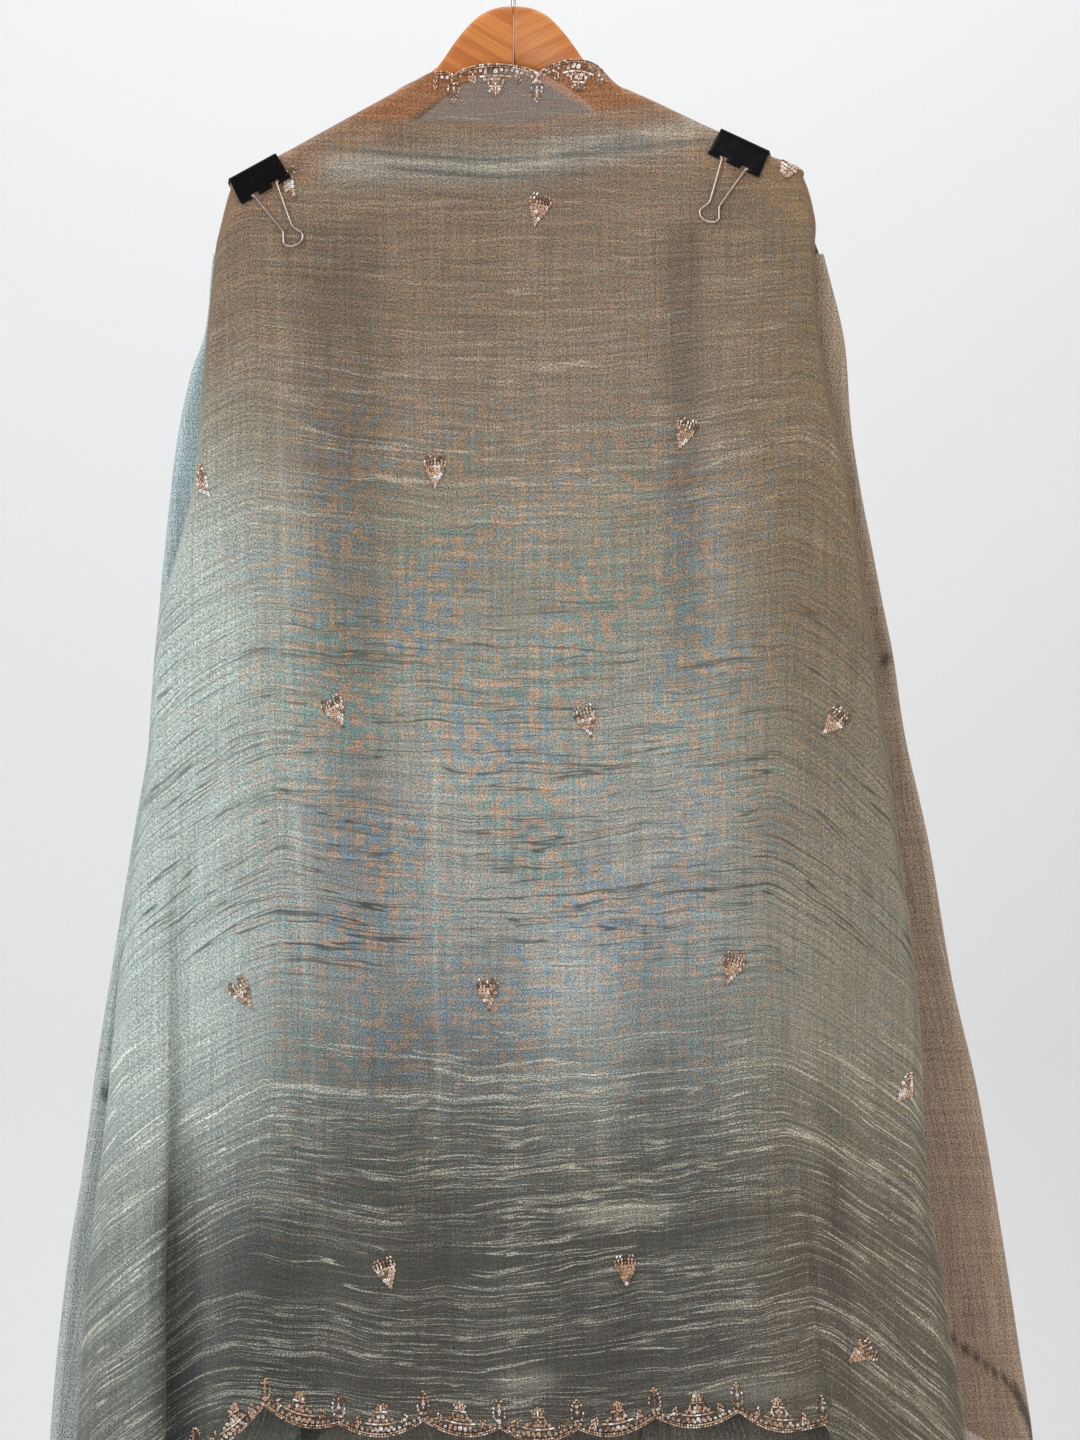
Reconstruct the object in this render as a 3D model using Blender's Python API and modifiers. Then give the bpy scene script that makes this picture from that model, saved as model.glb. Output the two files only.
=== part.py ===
"""Dupatta stole draped over a two-piece wooden hanger and held by two binder clips.

Sizes are in millimetres in the tables and are scaled to metres when a mesh is made.
The origin is the inside top of the hook's bend.  +X is to the right, +Z is up and
the front of the drape faces -Y.  "drop" is the distance below the top of the wood.
"""
import math

import bmesh
import bpy
import numpy as np
from mathutils import Matrix, Vector

# ---------------------------------------------------------------- sizes (mm)
WOOD_TOP = -66.0          # height of the wood's top under the hook's seat
KINK = math.tan(math.radians(7.0))   # each half of the hanger leans forward
ARM_THICKNESS = 11.4
ARM_ROUND = 5.2           # rounding of the arm's upper and lower edges
ARM_REACH = 203.0         # from the centre line to the arm's tip
MITRE_GAP = 0.3
WIRE_HOOK = 1.8           # radius of the hook's wire
HOOK_INSIDE = 18.7        # inside radius of the hook's bend

WALL = 1.2                # thickness of the cloth wall
ARM_CLEAR = 2.0           # cloth's outer face at the crown to the wood
SEAM = 0.45               # space between neighbouring stretches of cloth
FOLD_SEAM = 1.8           # the same at the hidden inner fold
PART_ACROSS = 0.45        # between the simple walls of one stretch, side by side
PART_DOWN = 1.05          # the same, one above the other
LAY = 7.1                 # arm's centre plane to the middle of the cloth on it

CLIP_PLATE = 0.8
CLIP_JAW = -17.6          # height of the lip's curl under the cloth's crown
CURL = 1.5                # radius of the curl, to the middle of the plate
WIRE_HANDLE = 0.75        # radius of the handle's wire
HANDLE_AXIS = 10.0        # arm's centre plane to the handle's hinge axis

# The top line of the cloth on each arm: a point on it and its slope.
ARM_LINE = {
    "left": {"x": 155.5, "drop": 104.0, "slope": 0.575, "clip": 190.0},
    "right": {"x": 151.1, "drop": 95.2, "slope": 0.490, "clip": 169.7},
}
SIGN = {"left": -1.0, "right": 1.0}

# Neck of the hanger: distance from the centre, drop of the top and of the underside.
NECK = {
    "x": (0.0, 8.0, 16.0, 25.0, 34.0, 42.0, 49.0, 55.0),
    "top": (0.0, 0.7, 2.9, 7.8, 16.6, 26.6, 37.0, 45.5),
    "under": (43.5, 44.4, 47.2, 51.4, 56.4, 61.8, 67.0, 71.6),
}

# Outline of the front panel on each side, with its depth and the radius of its roll.
FRONT_EDGE = {
    "left": {
        "drop": (118.0, 132.0, 142.0, 153.0, 166.0, 180.0, 210.0, 255.0, 350.0, 400.0,
                 452.0, 576.0, 657.0, 803.0, 949.0, 1051.0, 1240.0, 1372.0),
        "x": (188.0, 203.5, 207.5, 210.5, 213.5, 216.5, 219.5, 224.0, 232.0, 243.0,
              257.5, 267.0, 279.6, 292.7, 308.8, 314.6, 325.0, 332.0),
        "y": (-31.5, -32.6, -33.0, -33.2, -33.4, -33.7, -34.4, -36.0, -39.0, -40.0,
              -41.0, -43.0, -45.0, -48.0, -51.0, -53.0, -56.0, -58.0),
        "roll": (7.1, 7.1, 7.1, 7.1, 6.4, 5.0, 3.4, 3.2, 3.2, 3.4,
                 4.0, 6.5, 9.0, 12.0, 14.5, 15.5, 16.0, 16.0),
        "turn": (88.0, 88.0, 88.0, 90.0, 104.0, 135.0, 180.0, 180.0, 180.0, 180.0,
                 180.0, 180.0, 180.0, 180.0, 180.0, 180.0, 180.0, 180.0),
    },
    "right": {
        "drop": (98.0, 112.0, 121.0, 128.0, 136.0, 152.0, 166.0, 184.0, 210.0, 255.0,
                 345.0, 460.0, 601.0, 744.0, 840.0, 963.0, 1046.0, 1240.0, 1380.0),
        "x": (178.0, 197.0, 206.6, 211.0, 214.6, 219.0, 221.0, 220.0, 221.0, 224.8,
              242.4, 260.6, 278.4, 294.5, 298.6, 315.0, 327.4, 347.0, 363.0),
        "y": (-29.5, -31.6, -32.6, -33.0, -33.3, -33.6, -33.9, -34.2, -34.8, -36.0,
              -38.5, -41.0, -44.0, -47.5, -49.5, -52.0, -53.5, -56.0, -58.0),
        "roll": (7.1, 7.1, 7.1, 7.1, 7.1, 7.1, 6.0, 4.2, 3.4, 3.2,
                 3.4, 4.0, 6.0, 8.5, 10.0, 11.5, 12.0, 12.5, 12.5),
        "turn": (88.0, 88.0, 88.0, 88.0, 88.0, 92.0, 112.0, 150.0, 180.0, 180.0,
                 180.0, 180.0, 180.0, 180.0, 180.0, 180.0, 180.0, 180.0, 180.0),
    },
}

# The fold at the back of each side that makes the outline behind the front panel.
BACK_EDGE = {
    "left": {
        "drop": (168.0, 185.0, 241.0, 270.0, 321.0, 380.0, 452.0, 526.0, 606.0, 693.0,
                 781.0, 861.0, 927.0, 1051.0, 1090.0),
        "x": (216.0, 219.5, 225.5, 235.8, 246.7, 254.0, 261.3, 266.5, 279.6, 294.2,
              308.8, 319.7, 330.7, 343.8, 346.0),
        "y": (-20.4, -19.8, -17.0, -15.5, -13.0, -10.0, -6.5, -3.0, 1.0, 5.0,
              9.0, 12.0, 14.0, 17.0, 18.0),
        "roll": (3.0, 3.0, 3.2, 3.4, 3.6, 3.8, 4.0, 4.2, 4.5, 4.8,
                 5.0, 5.0, 5.0, 5.0, 5.0),
    },
    "right": {
        "drop": (168.0, 185.0, 255.0, 306.0, 357.0, 401.0, 440.0, 478.0, 529.0, 614.0,
                 717.0, 799.0, 909.0, 1000.0, 1051.0, 1090.0),
        "x": (223.6, 227.5, 243.8, 247.7, 255.4, 264.3, 272.0, 279.9, 287.4, 306.6,
              324.6, 343.8, 362.8, 377.0, 385.0, 389.0),
        "y": (-20.4, -19.8, -16.5, -13.5, -11.0, -8.5, -6.5, -4.5, -2.0, 2.5,
              7.0, 10.5, 14.0, 16.5, 18.0, 19.0),
        "roll": (3.0, 3.0, 3.3, 3.5, 3.7, 3.9, 4.0, 4.1, 4.2, 4.5,
                 4.8, 5.0, 5.0, 5.0, 5.0, 5.0),
    },
}

# The hidden fold between the return behind the front edge and the back layer.
INNER_FOLD = {
    "left": {
        "drop": (168.0, 200.0, 255.0, 365.0, 511.0, 657.0, 803.0, 949.0, 1051.0, 1180.0),
        "x": (206.5, 205.0, 201.0, 192.0, 184.0, 178.0, 171.0, 163.0, 156.0, 148.0),
        "y": (-25.3, -25.0, -24.0, -20.0, -15.0, -10.0, -6.0, -3.0, -1.0, 1.0),
        "roll": (1.5, 1.7, 2.0, 2.5, 3.0, 3.5, 4.0, 4.0, 4.0, 4.0),
    },
    "right": {
        "drop": (168.0, 200.0, 255.0, 365.0, 511.0, 657.0, 803.0, 949.0, 1051.0, 1180.0),
        "x": (211.0, 209.0, 204.0, 191.0, 173.0, 152.0, 129.0, 104.0, 84.0, 66.0),
        "y": (-25.3, -25.0, -24.0, -20.0, -15.0, -10.0, -6.0, -3.0, -1.0, 1.0),
        "roll": (1.5, 1.7, 2.0, 2.5, 3.0, 3.5, 4.0, 4.0, 4.0, 4.0),
    },
}

# The neck border behind the arm and down the inner side of each tail, by the drop
# of the outer side of the same row of cloth.
NECK_BORDER = {
    "left": {
        "outer": (65.0, 83.0, 105.0, 124.0, 142.0, 185.0, 320.0, 520.0, 740.0, 930.0, 1051.0),
        "x": (83.7, 105.0, 130.6, 152.6, 160.0, 158.0, 150.0, 142.0, 134.0, 127.0, 129.0),
        "drop": (72.0, 107.0, 151.0, 189.0, 208.0, 250.0, 385.0, 570.0, 780.0, 970.0, 1072.0),
        "y": (0.0, 0.0, 0.0, -3.0, -3.0, -1.0, 6.0, 12.0, 18.0, 22.0, 24.0),
    },
    "right": {
        "outer": (67.0, 79.0, 94.0, 110.0, 136.0, 185.0, 320.0, 520.0, 740.0, 930.0, 1051.0),
        "x": (89.0, 109.0, 129.0, 148.0, 160.0, 161.0, 160.0, 163.0, 168.0, 173.0, 176.0),
        "drop": (73.8, 99.0, 134.0, 171.0, 204.0, 250.0, 375.0, 540.0, 720.0, 870.0, 942.0),
        "y": (0.0, 0.0, 0.0, -3.0, -3.0, -1.0, 6.0, 12.0, 18.0, 22.0, 24.0),
    },
}

# Neck edge in front of the wood: its line and its scallops.
NECK_LINE = {
    "x": (-92.0, -72.0, -57.0, -43.0, -14.0, 16.0, 45.0, 58.0, 75.0, 92.0),
    "drop": (68.0, 57.5, 48.5, 44.5, 43.6, 43.4, 40.6, 43.0, 55.0, 66.0),
}
SCALLOP = {"pitch": 61.0, "cusp": -43.5, "depth": 8.4}

# Hem of the front panel: place across the panel (0 left, 1 right), drop of each cusp
# and how far the arc that follows it bows down.
HEM = {
    "place": (0.0, 0.012, 0.024, 0.036, 0.070, 0.110, 0.1934, 0.281, 0.381, 0.472, 0.564,
              0.6576, 0.7565, 0.845, 0.878, 0.908, 0.938, 0.968, 1.0),
    "drop": (1372.0, 1288.0, 1200.0, 1114.0, 1088.0, 1058.0, 1021.0, 1036.0, 1033.0, 1038.5,
             1039.0, 1031.5, 1025.0, 1034.0, 1062.0, 1150.0, 1232.0, 1308.0, 1380.0),
    "bow": (12.0, 14.0, 14.0, 3.0, 4.0, 7.0, 8.5, 9.0, 10.0, 9.0, 9.5,
            9.5, 9.0, 2.0, 14.0, 14.0, 14.0, 12.0, 0.0),
    "steps": (2, 2, 3, 7, 2, 3, 4, 4, 4, 3, 3, 4, 4, 6, 3, 3, 3, 3, 0),
}

# Soft folds of the front panel: drop, place in x, height toward the front, half width.
PANEL_FOLDS = (
    {"drop": (200.0, 300.0, 511.0, 803.0, 949.0, 1060.0),
     "x": (-174.0, -171.0, -163.0, -146.0, -134.0, -130.0),
     "rise": (0.0, -3.0, -5.0, -6.0, -5.0, -4.0), "half": 17.0},
    {"drop": (200.0, 360.0, 511.0, 803.0, 949.0, 1060.0),
     "x": (-132.0, -130.0, -124.0, -104.0, -92.0, -86.0),
     "rise": (0.0, 3.0, 5.0, 7.0, 7.0, 6.0), "half": 24.0},
    {"drop": (200.0, 440.0, 560.0, 750.0, 860.0, 1060.0),
     "x": (-57.0, -57.0, -57.0, -55.0, -50.0, -40.0),
     "rise": (0.0, 0.0, -3.0, -5.0, -5.0, -6.0), "half": 20.0},
    {"drop": (180.0, 300.0, 480.0, 700.0, 900.0, 1060.0),
     "x": (115.0, 114.0, 112.0, 104.0, 96.0, 92.0),
     "rise": (0.0, -4.0, -4.0, -3.0, -4.0, -6.0), "half": 22.0},
    {"drop": (180.0, 380.0, 560.0, 760.0, 940.0, 1060.0),
     "x": (160.0, 168.0, 176.0, 180.0, 182.0, 184.0),
     "rise": (0.0, 2.0, 4.0, 6.0, 8.0, 9.0), "half": 26.0},
    {"drop": (200.0, 560.0, 760.0, 940.0, 1060.0),
     "x": (30.0, 30.0, 28.0, 22.0, 18.0),
     "rise": (0.0, 1.0, 3.0, 5.0, 6.0), "half": 30.0},
)

# Pleat that grows down each side of the panel: the outer strip lies in front.
PLEAT = {
    "left": {"place": 0.0512, "half": 0.020,
             "drop": (460.0, 600.0, 700.0, 800.0, 900.0, 1000.0, 1060.0, 1400.0),
             "fold": (0.0, 3.0, 10.0, 26.0, 44.0, 58.0, 62.0, 66.0),
             "step": (0.0, 7.0, 13.0, 18.0, 21.0, 23.0, 24.0, 25.0)},
    "right": {"place": 0.862, "half": 0.020,
              "drop": (460.0, 600.0, 720.0, 840.0, 950.0, 1050.0, 1400.0),
              "fold": (0.0, 2.0, 5.0, 9.0, 14.0, 18.0, 20.0),
              "step": (0.0, 4.0, 8.0, 12.0, 15.0, 17.0, 18.0)},
}

ROWS_FRONT = (0.012, 0.034, 0.060, 0.095, 0.14, 0.19, 0.25, 0.31, 0.37, 0.43, 0.50,
              0.57, 0.64, 0.71, 0.78, 0.85, 0.925, 1.0)
RETURN_FROM = 2           # the return starts at this row of the front panel
ROWS_BACK = (0.0, 0.045, 0.10, 0.16, 0.23, 0.31, 0.39, 0.48, 0.57, 0.66, 0.75, 0.83, 0.90,
             0.9654, 1.0)
BACK_TOP = 185.0
BACK_LOW = 1082.0         # drop of the back layer's bottom at the outline

# strips of each wall: name, first and last column, and the rows where a strip is parted;
# a last column of 0 or less counts back from the wall's last one, and so does a first below 0
STRIPS = {
    "front": (("turn_left", 0, 4, (15,)), ("left", 4, 22, (10, 14)),
              ("middle", 22, 45, (10, 14)), ("right", 45, -4, (10, 14)),
              ("turn_right", -4, 0, (15,))),
    "return": (("flat", 0, 8, (4, 9, 13)), ("turn", 8, 0, (9,))),
    "back": (("flat", 0, 15, (5, 8, 11)), ("turn", 15, 0, (8,))),
    "inner": (("flat", 0, 7, (11, 16, 19, 22)), ("turn", 7, 0, (16,))),
}

COLOURS = {
    "front": (0.33, 0.37, 0.32, 1.0),
    "return": (0.27, 0.31, 0.28, 1.0),
    "back": (0.36, 0.36, 0.31, 1.0),
    "inner": (0.30, 0.34, 0.31, 1.0),
    "wood": (0.78, 0.48, 0.24, 1.0),
    "steel": (0.72, 0.70, 0.67, 1.0),
    "black": (0.012, 0.012, 0.014, 1.0),
}


# ---------------------------------------------------------------- helpers
def smooth_at(table, column, value, key="drop"):
    """Read a column of a table at a value between its rows, along a smooth curve."""
    xs = table[key]
    ys = table[column]
    if value <= xs[0]:
        return ys[0]
    last = len(xs) - 1
    if value >= xs[last]:
        slope = (ys[last] - ys[last - 1]) / (xs[last] - xs[last - 1])
        return ys[last] + slope * (value - xs[last])
    i = 0
    while value > xs[i + 1]:
        i += 1

    def slope_at(k):
        if k == 0 or k == last:
            return None
        before = (ys[k] - ys[k - 1]) / (xs[k] - xs[k - 1])
        after = (ys[k + 1] - ys[k]) / (xs[k + 1] - xs[k])
        if before * after <= 0.0:
            return 0.0
        return 2.0 * before * after / (before + after)

    width = xs[i + 1] - xs[i]
    straight = (ys[i + 1] - ys[i]) / width
    m0 = slope_at(i)
    m1 = slope_at(i + 1)
    m0 = straight if m0 is None else m0
    m1 = straight if m1 is None else m1
    t = (value - xs[i]) / width
    a = (1.0 + 2.0 * t) * (1.0 - t) ** 2
    b = t * (1.0 - t) ** 2
    c = t * t * (3.0 - 2.0 * t)
    d = t * t * (t - 1.0)
    return a * ys[i] + b * width * m0 + c * ys[i + 1] + d * width * m1


def ease(value, start, end):
    """0 before start, 1 after end and a smooth rise between them."""
    t = min(1.0, max(0.0, (value - start) / (end - start)))
    return t * t * (3.0 - 2.0 * t)


def arm_line(side, distance):
    """Drop of the cloth's top line over an arm, at a distance from the centre."""
    line = ARM_LINE[side]
    return line["drop"] + line["slope"] * (distance - line["x"])


def arm_plane(x):
    """Depth of the arms' centre plane."""
    return -KINK * abs(x)


def place(x, y, drop):
    return Vector((x, y, WOOD_TOP - drop))


# ---------------------------------------------------------------- front panel
def side_of(x):
    return "left" if x < 0.0 else "right"


def side_edge(side, column, drop):
    return smooth_at(FRONT_EDGE[side], column, drop)


def neck_drop(x):
    """Drop of the panel's top edge: the scalloped border, then the line over the arm."""
    side = side_of(x)
    over = arm_line(side, abs(x)) + 0.6
    border = smooth_at(NECK_LINE, "drop", x, "x")
    phase = (x - SCALLOP["cusp"]) / SCALLOP["pitch"]
    t = 2.0 * (phase - math.floor(phase)) - 1.0
    border += SCALLOP["depth"] * (1.0 - math.sqrt(1.0 - 0.93 * t * t)) / (1.0 - math.sqrt(0.07))
    mix = ease(abs(x), 66.0, 88.0)
    return border * (1.0 - mix) + over * mix


def panel_depth(across, x, drop):
    """Depth of the panel at a place across it, without its side pleats."""
    near = -KINK * math.sqrt(x * x + 400.0) - LAY
    left = side_edge("left", "y", drop)
    right = side_edge("right", "y", drop)
    side = left + (right - left) * across
    middle = -11.0 - 27.0 * ease(drop, 150.0, 900.0)
    bend = abs(2.0 * across - 1.0) ** 1.7
    low = middle + (side - middle) * bend
    depth = near + (low - near) * ease(drop, 196.0, 520.0)
    for fold in PANEL_FOLDS:
        centre = smooth_at(fold, "x", drop)
        rise = smooth_at(fold, "rise", min(drop, 1060.0))
        depth -= rise * math.exp(-((x - centre) / fold["half"]) ** 2)
    # shallow cowl folds that sag between the clips
    window = math.exp(-(x / 95.0) ** 4)
    ridge = 88.0 - 14.0 * (max(x, 0.0) / 102.0) ** 2 - 2.0 * (min(x, 0.0) / 108.0) ** 2
    depth -= 3.6 * window * math.exp(-((drop - ridge - 10.0) / 9.0) ** 2)
    depth -= 2.4 * window * math.exp(-((drop - ridge - 38.0) / 12.0) ** 2)
    return depth


def panel_point(across, drop, left_roll=0.0, right_roll=0.0):
    """Middle of the cloth at a place across the panel and a drop, in mm."""
    roll_l = side_edge("left", "roll", drop)
    roll_r = side_edge("right", "roll", drop)
    x_left = -(side_edge("left", "x", drop) - WALL / 2.0 - roll_l)
    x_right = side_edge("right", "x", drop) - WALL / 2.0 - roll_r
    x = x_left + (x_right - x_left) * across
    y = panel_depth(across, x, drop)
    for side in ("left", "right"):
        pleat = PLEAT[side]
        fold = smooth_at(pleat, "fold", max(drop, pleat["drop"][0]))
        step = smooth_at(pleat, "step", max(drop, pleat["drop"][0]))
        t = (across - pleat["place"]) / pleat["half"]
        x -= fold * t * math.exp(-t * t)
        s = t if side == "left" else -t
        near = (1.0 - math.tanh((s - 0.6) / 0.35)) / 4.0
        far = (1.0 - math.tanh((s + 0.6) / 0.35)) / 4.0
        y -= step * (near + far)
    if left_roll > 0.0:
        turn = math.radians(side_edge("left", "turn", drop)) * left_roll
        x -= roll_l * math.sin(turn)
        y += roll_l * (1.0 - math.cos(turn))
    if right_roll > 0.0:
        turn = math.radians(side_edge("right", "turn", drop)) * right_roll
        x += roll_r * math.sin(turn)
        y += roll_r * (1.0 - math.cos(turn))
    return x, y


def hem_drop(across):
    """Drop of the scalloped hem at a place across the panel."""
    at = HEM["place"]
    if across <= at[0]:
        return HEM["drop"][0]
    if across >= at[-1]:
        return HEM["drop"][-1]
    i = 0
    while across > at[i + 1]:
        i += 1
    t = (across - at[i]) / (at[i + 1] - at[i])
    straight = HEM["drop"][i] * (1.0 - t) + HEM["drop"][i + 1] * t
    return straight + HEM["bow"][i] * (1.0 - (2.0 * t - 1.0) ** 2)


def panel_start(across):
    """Drop where the column at this place leaves the turn over the arm or the border."""
    drop = 110.0
    for _ in range(14):
        x, _y = panel_point(across, drop)
        normal = math.hypot(1.0, ARM_LINE[side_of(x)]["slope"])
        drop = neck_drop(x) + LAY * normal
    return drop


def front_columns():
    columns = [(0.0, a, 0.0) for a in (1.0, 0.72, 0.46, 0.22)]
    for i in range(len(HEM["place"]) - 1):
        low = HEM["place"][i]
        high = HEM["place"][i + 1]
        for k in range(HEM["steps"][i]):
            columns.append((low + (high - low) * k / HEM["steps"][i], 0.0, 0.0))
    columns.append((1.0, 0.0, 0.0))
    columns += [(1.0, 0.0, a) for a in (0.22, 0.46, 0.72, 1.0)]
    return columns


def front_grid():
    """Columns of the front panel, from the top edge or the arm's crown to the hem."""
    grid = []
    for across, left_roll, right_roll in front_columns():
        start = panel_start(across)
        x, y = panel_point(across, start)
        side = side_of(x)
        slope = ARM_LINE[side]["slope"]
        normal = math.hypot(1.0, slope)
        over = ease(abs(x), 68.0, 86.0)
        aside = left_roll + right_roll
        column = []
        for turn in (1.0, 0.66, 0.33):
            # flat above the arm at the neck, turned over the crown along the arm
            flat = start - LAY * normal * turn
            fx, fy = panel_point(across, flat)
            up = math.radians(88.0) * turn * (1.0 - 0.5 * aside)
            round_tip = math.radians(88.0) * aside
            lift = LAY * math.sin(up)
            sideways = LAY * math.cos(up) * math.sin(round_tip)
            px = x + SIGN[side] * (slope * lift / normal + sideways)
            py = y + LAY * (1.0 - math.cos(up) * math.cos(round_tip))
            pz = start - lift / normal - 1.3 * math.sin(math.pi * over)
            column.append((fx + (px - fx) * over, fy + (py - fy) * over,
                           flat + (pz - flat) * over))
        bottom = hem_drop(across)
        for r in (0.0,) + ROWS_FRONT:
            column.append(panel_at(across, start + (bottom - start) * r, left_roll, right_roll))
        grid.append(column)
    return grid


def panel_at(across, drop, left_roll, right_roll):
    x, y = panel_point(across, drop, left_roll, right_roll)
    return (x, y, drop)


# ---------------------------------------------------------------- side falls
def front_return_start(side, drop):
    """Where the roll of the front edge ends behind the panel."""
    across = 0.0 if side == "left" else 1.0
    rolls = (1.0, 0.0) if side == "left" else (0.0, 1.0)
    return panel_point(across, drop, *rolls)


def fold_end(table, side, drop, outward):
    """Middle of the roll at a fold: x of the roll's centre, depth and radius."""
    x = smooth_at(table[side], "x", drop)
    y = smooth_at(table[side], "y", drop)
    roll = smooth_at(table[side], "roll", drop)
    inset = WALL / 2.0 + roll
    return SIGN[side] * (x - inset if outward else x + inset), y, roll


def return_row(side, drop, shares, turns):
    """The cloth that returns inward behind the front edge, with its inner fold."""
    x0, y0 = front_return_start(side, drop)
    x0 -= SIGN[side] * SEAM
    x1, yc, roll = fold_end(INNER_FOLD, side, drop, False)
    row = []
    for q in shares:
        bulge = 2.5 * math.sin(math.pi * q) * ease(drop, 250.0, 800.0)
        bulge *= math.cos(5.0 * math.pi * q)
        row.append((x0 + (x1 - x0) * q, y0 + (yc - roll - y0) * q + bulge, drop))
    for a in turns:
        angle = math.pi * a
        x = x1 - SIGN[side] * roll * math.sin(angle)
        row.append((x, yc - roll * math.cos(angle), drop))
    return row


def back_row(side, drop, shares, turns):
    """The layer that comes out from behind the panel and makes the outline."""
    x0, yc0, roll0 = fold_end(INNER_FOLD, side, drop, False)
    x0 += SIGN[side] * FOLD_SEAM
    x1, yc, roll = fold_end(BACK_EDGE, side, drop, True)
    y0 = yc0 + roll0
    row = []
    for q in shares:
        bulge = 3.0 * math.sin(math.pi * q) * ease(drop, 250.0, 800.0)
        bulge *= math.cos(4.0 * math.pi * q + 0.6)
        row.append((x0 + (x1 - x0) * q, y0 + (yc - roll - y0) * q + bulge, drop))
    for a in turns:
        angle = math.pi * a
        x = x1 + SIGN[side] * roll * math.sin(angle)
        row.append((x, yc - roll * math.cos(angle), drop))
    return row


def fall_grid(side, row_of, shares, turns, top, bottoms, rows):
    """Columns of a hanging layer from its top drop to its own scalloped bottom."""
    count = len(shares) + len(turns)
    grid = []
    for k in range(count):
        low = bottoms[min(k, len(shares) - 1)]
        column = []
        for r in rows:
            drop = top + (low - top) * r
            column.append(row_of(side, drop, shares, turns)[k])
        grid.append(column)
    return grid


def scalloped(shares, start, end, arcs, bow):
    """Drop of a scalloped bottom edge at each share of the way along it."""
    drops = []
    for q in shares:
        t = q * arcs - math.floor(q * arcs)
        drops.append(start + (end - start) * q + bow * (1.0 - (2.0 * t - 1.0) ** 2))
    return drops


# ---------------------------------------------------------------- neck flap and inner tail
def tail_outer(side, drop):
    """Distance from the centre of the outer side: along the arm, round its tip, down."""
    line = ARM_LINE[side]
    if drop <= arm_line(side, 192.0):
        return line["x"] + (drop - line["drop"]) / line["slope"]
    return side_edge(side, "x", drop) - WALL / 2.0


def inner_grid(side):
    """The neck flap behind the arm and the innermost layer of the tail."""
    first = NECK_BORDER[side]["outer"][0]
    last = arm_line(side, 192.0)
    outers = [first + (last - first) * k / 6.0 for k in range(7)]
    outers += [last + (BACK_TOP - last) * k / 5.0 for k in range(1, 5)]
    outers += [BACK_TOP + (BACK_LOW - BACK_TOP) * r for r in ROWS_BACK[:-1]]
    shares = (0.0, 0.08, 0.18, 0.31, 0.45, 0.59, 0.73, 0.87, 1.0)
    turns = (0.25, 0.5, 0.75, 1.0)
    sign = SIGN[side]
    slope = ARM_LINE[side]["slope"]
    normal = math.hypot(1.0, slope)
    grid = []
    for out_drop in outers:
        nx = smooth_at(NECK_BORDER[side], "x", out_drop, "outer")
        nd = smooth_at(NECK_BORDER[side], "drop", out_drop, "outer")
        out_x = tail_outer(side, out_drop)
        low = ease(out_drop, 145.0, 200.0)
        ny = arm_plane(nx) + LAY
        ny += (smooth_at(NECK_BORDER[side], "y", out_drop, "outer") - ny) * low
        # on the arm the stretch ends at the crown, below the tip at the back fold
        ex = out_x - LAY * slope / normal
        ed = out_drop + 0.6 + LAY / normal
        tip = ease(out_drop, arm_line(side, 186.0), arm_line(side, 204.0))
        ex += (out_x - LAY - ex) * tip
        ed += (out_drop - ed) * tip
        ey = arm_plane(ex) + LAY
        fx, fy, roll = fold_end(BACK_EDGE, side, max(out_drop, 168.0), True)
        fx = abs(fx) - SEAM
        down = ease(out_drop, 150.0, BACK_TOP - 1.0)
        ex += (fx - ex) * down
        ey += (fy + roll - ey) * down
        lip = LAY * (1.0 - ease(out_drop, 146.0, 176.0))
        plain = 2.4 * (1.0 - lip / LAY)
        ex -= plain
        row = []
        for q in shares:
            x = nx + (ex - nx) * q
            drop = nd + (ed - nd) * q
            y = ny + (ey - ny) * q
            y = max(y, (arm_plane(x) + LAY) * (1.0 - low) + y * low)
            y += 4.0 * low * math.sin(math.pi * q) * math.cos(4.0 * math.pi * q)
            row.append((sign * x, y, drop))
        dx = slope / normal * (1.0 - tip) + tip
        dd = -1.0 / normal * (1.0 - tip)
        for a in turns:
            angle = math.radians(85.0) * a
            reach = lip * math.sin(angle)
            back = lip * (1.0 - math.cos(angle))
            row.append((sign * (ex + dx * reach + a * plain), ey - back, ed + dd * reach))
        grid.append(row)
    return grid


# ---------------------------------------------------------------- meshes
def clear_scene():
    for item in list(bpy.data.objects):
        bpy.data.objects.remove(item, do_unlink=True)
    for block in (bpy.data.meshes, bpy.data.curves, bpy.data.materials):
        for item in list(block):
            block.remove(item)


def make_material(name, colour, roughness, metallic):
    material = bpy.data.materials.new(name)
    material.use_nodes = True
    shader = material.node_tree.nodes["Principled BSDF"]
    shader.inputs["Base Color"].default_value = colour
    shader.inputs["Roughness"].default_value = roughness
    shader.inputs["Metallic"].default_value = metallic
    material.diffuse_color = colour
    return material


def add_object(name, mesh, collection, material):
    item = bpy.data.objects.new(name, mesh)
    collection.objects.link(item)
    mesh.materials.append(material)
    return item


def drawn_back(before, cut, after, seam):
    """How far a wall ends short of a cut, more where the line bends there."""
    bend = (cut - before).angle(after - cut, 0.0)
    return seam / 2.0 + WALL / 2.0 * math.tan(bend / 2.0)


def parted(line, first, last, seam):
    """A stretch of a line of points that ends short of the cuts at its two ends."""
    line = [Vector(p) for p in line]
    points = line[first:last + 1]
    if first > 0:
        gap = drawn_back(line[first - 1], line[first], line[first + 1], seam)
        points[0] = points[0] + (points[1] - points[0]).normalized() * gap
    if last < len(line) - 1:
        gap = drawn_back(line[last - 1], line[last], line[last + 1], seam)
        points[-1] = points[-1] + (points[-2] - points[-1]).normalized() * gap
    return points


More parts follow.
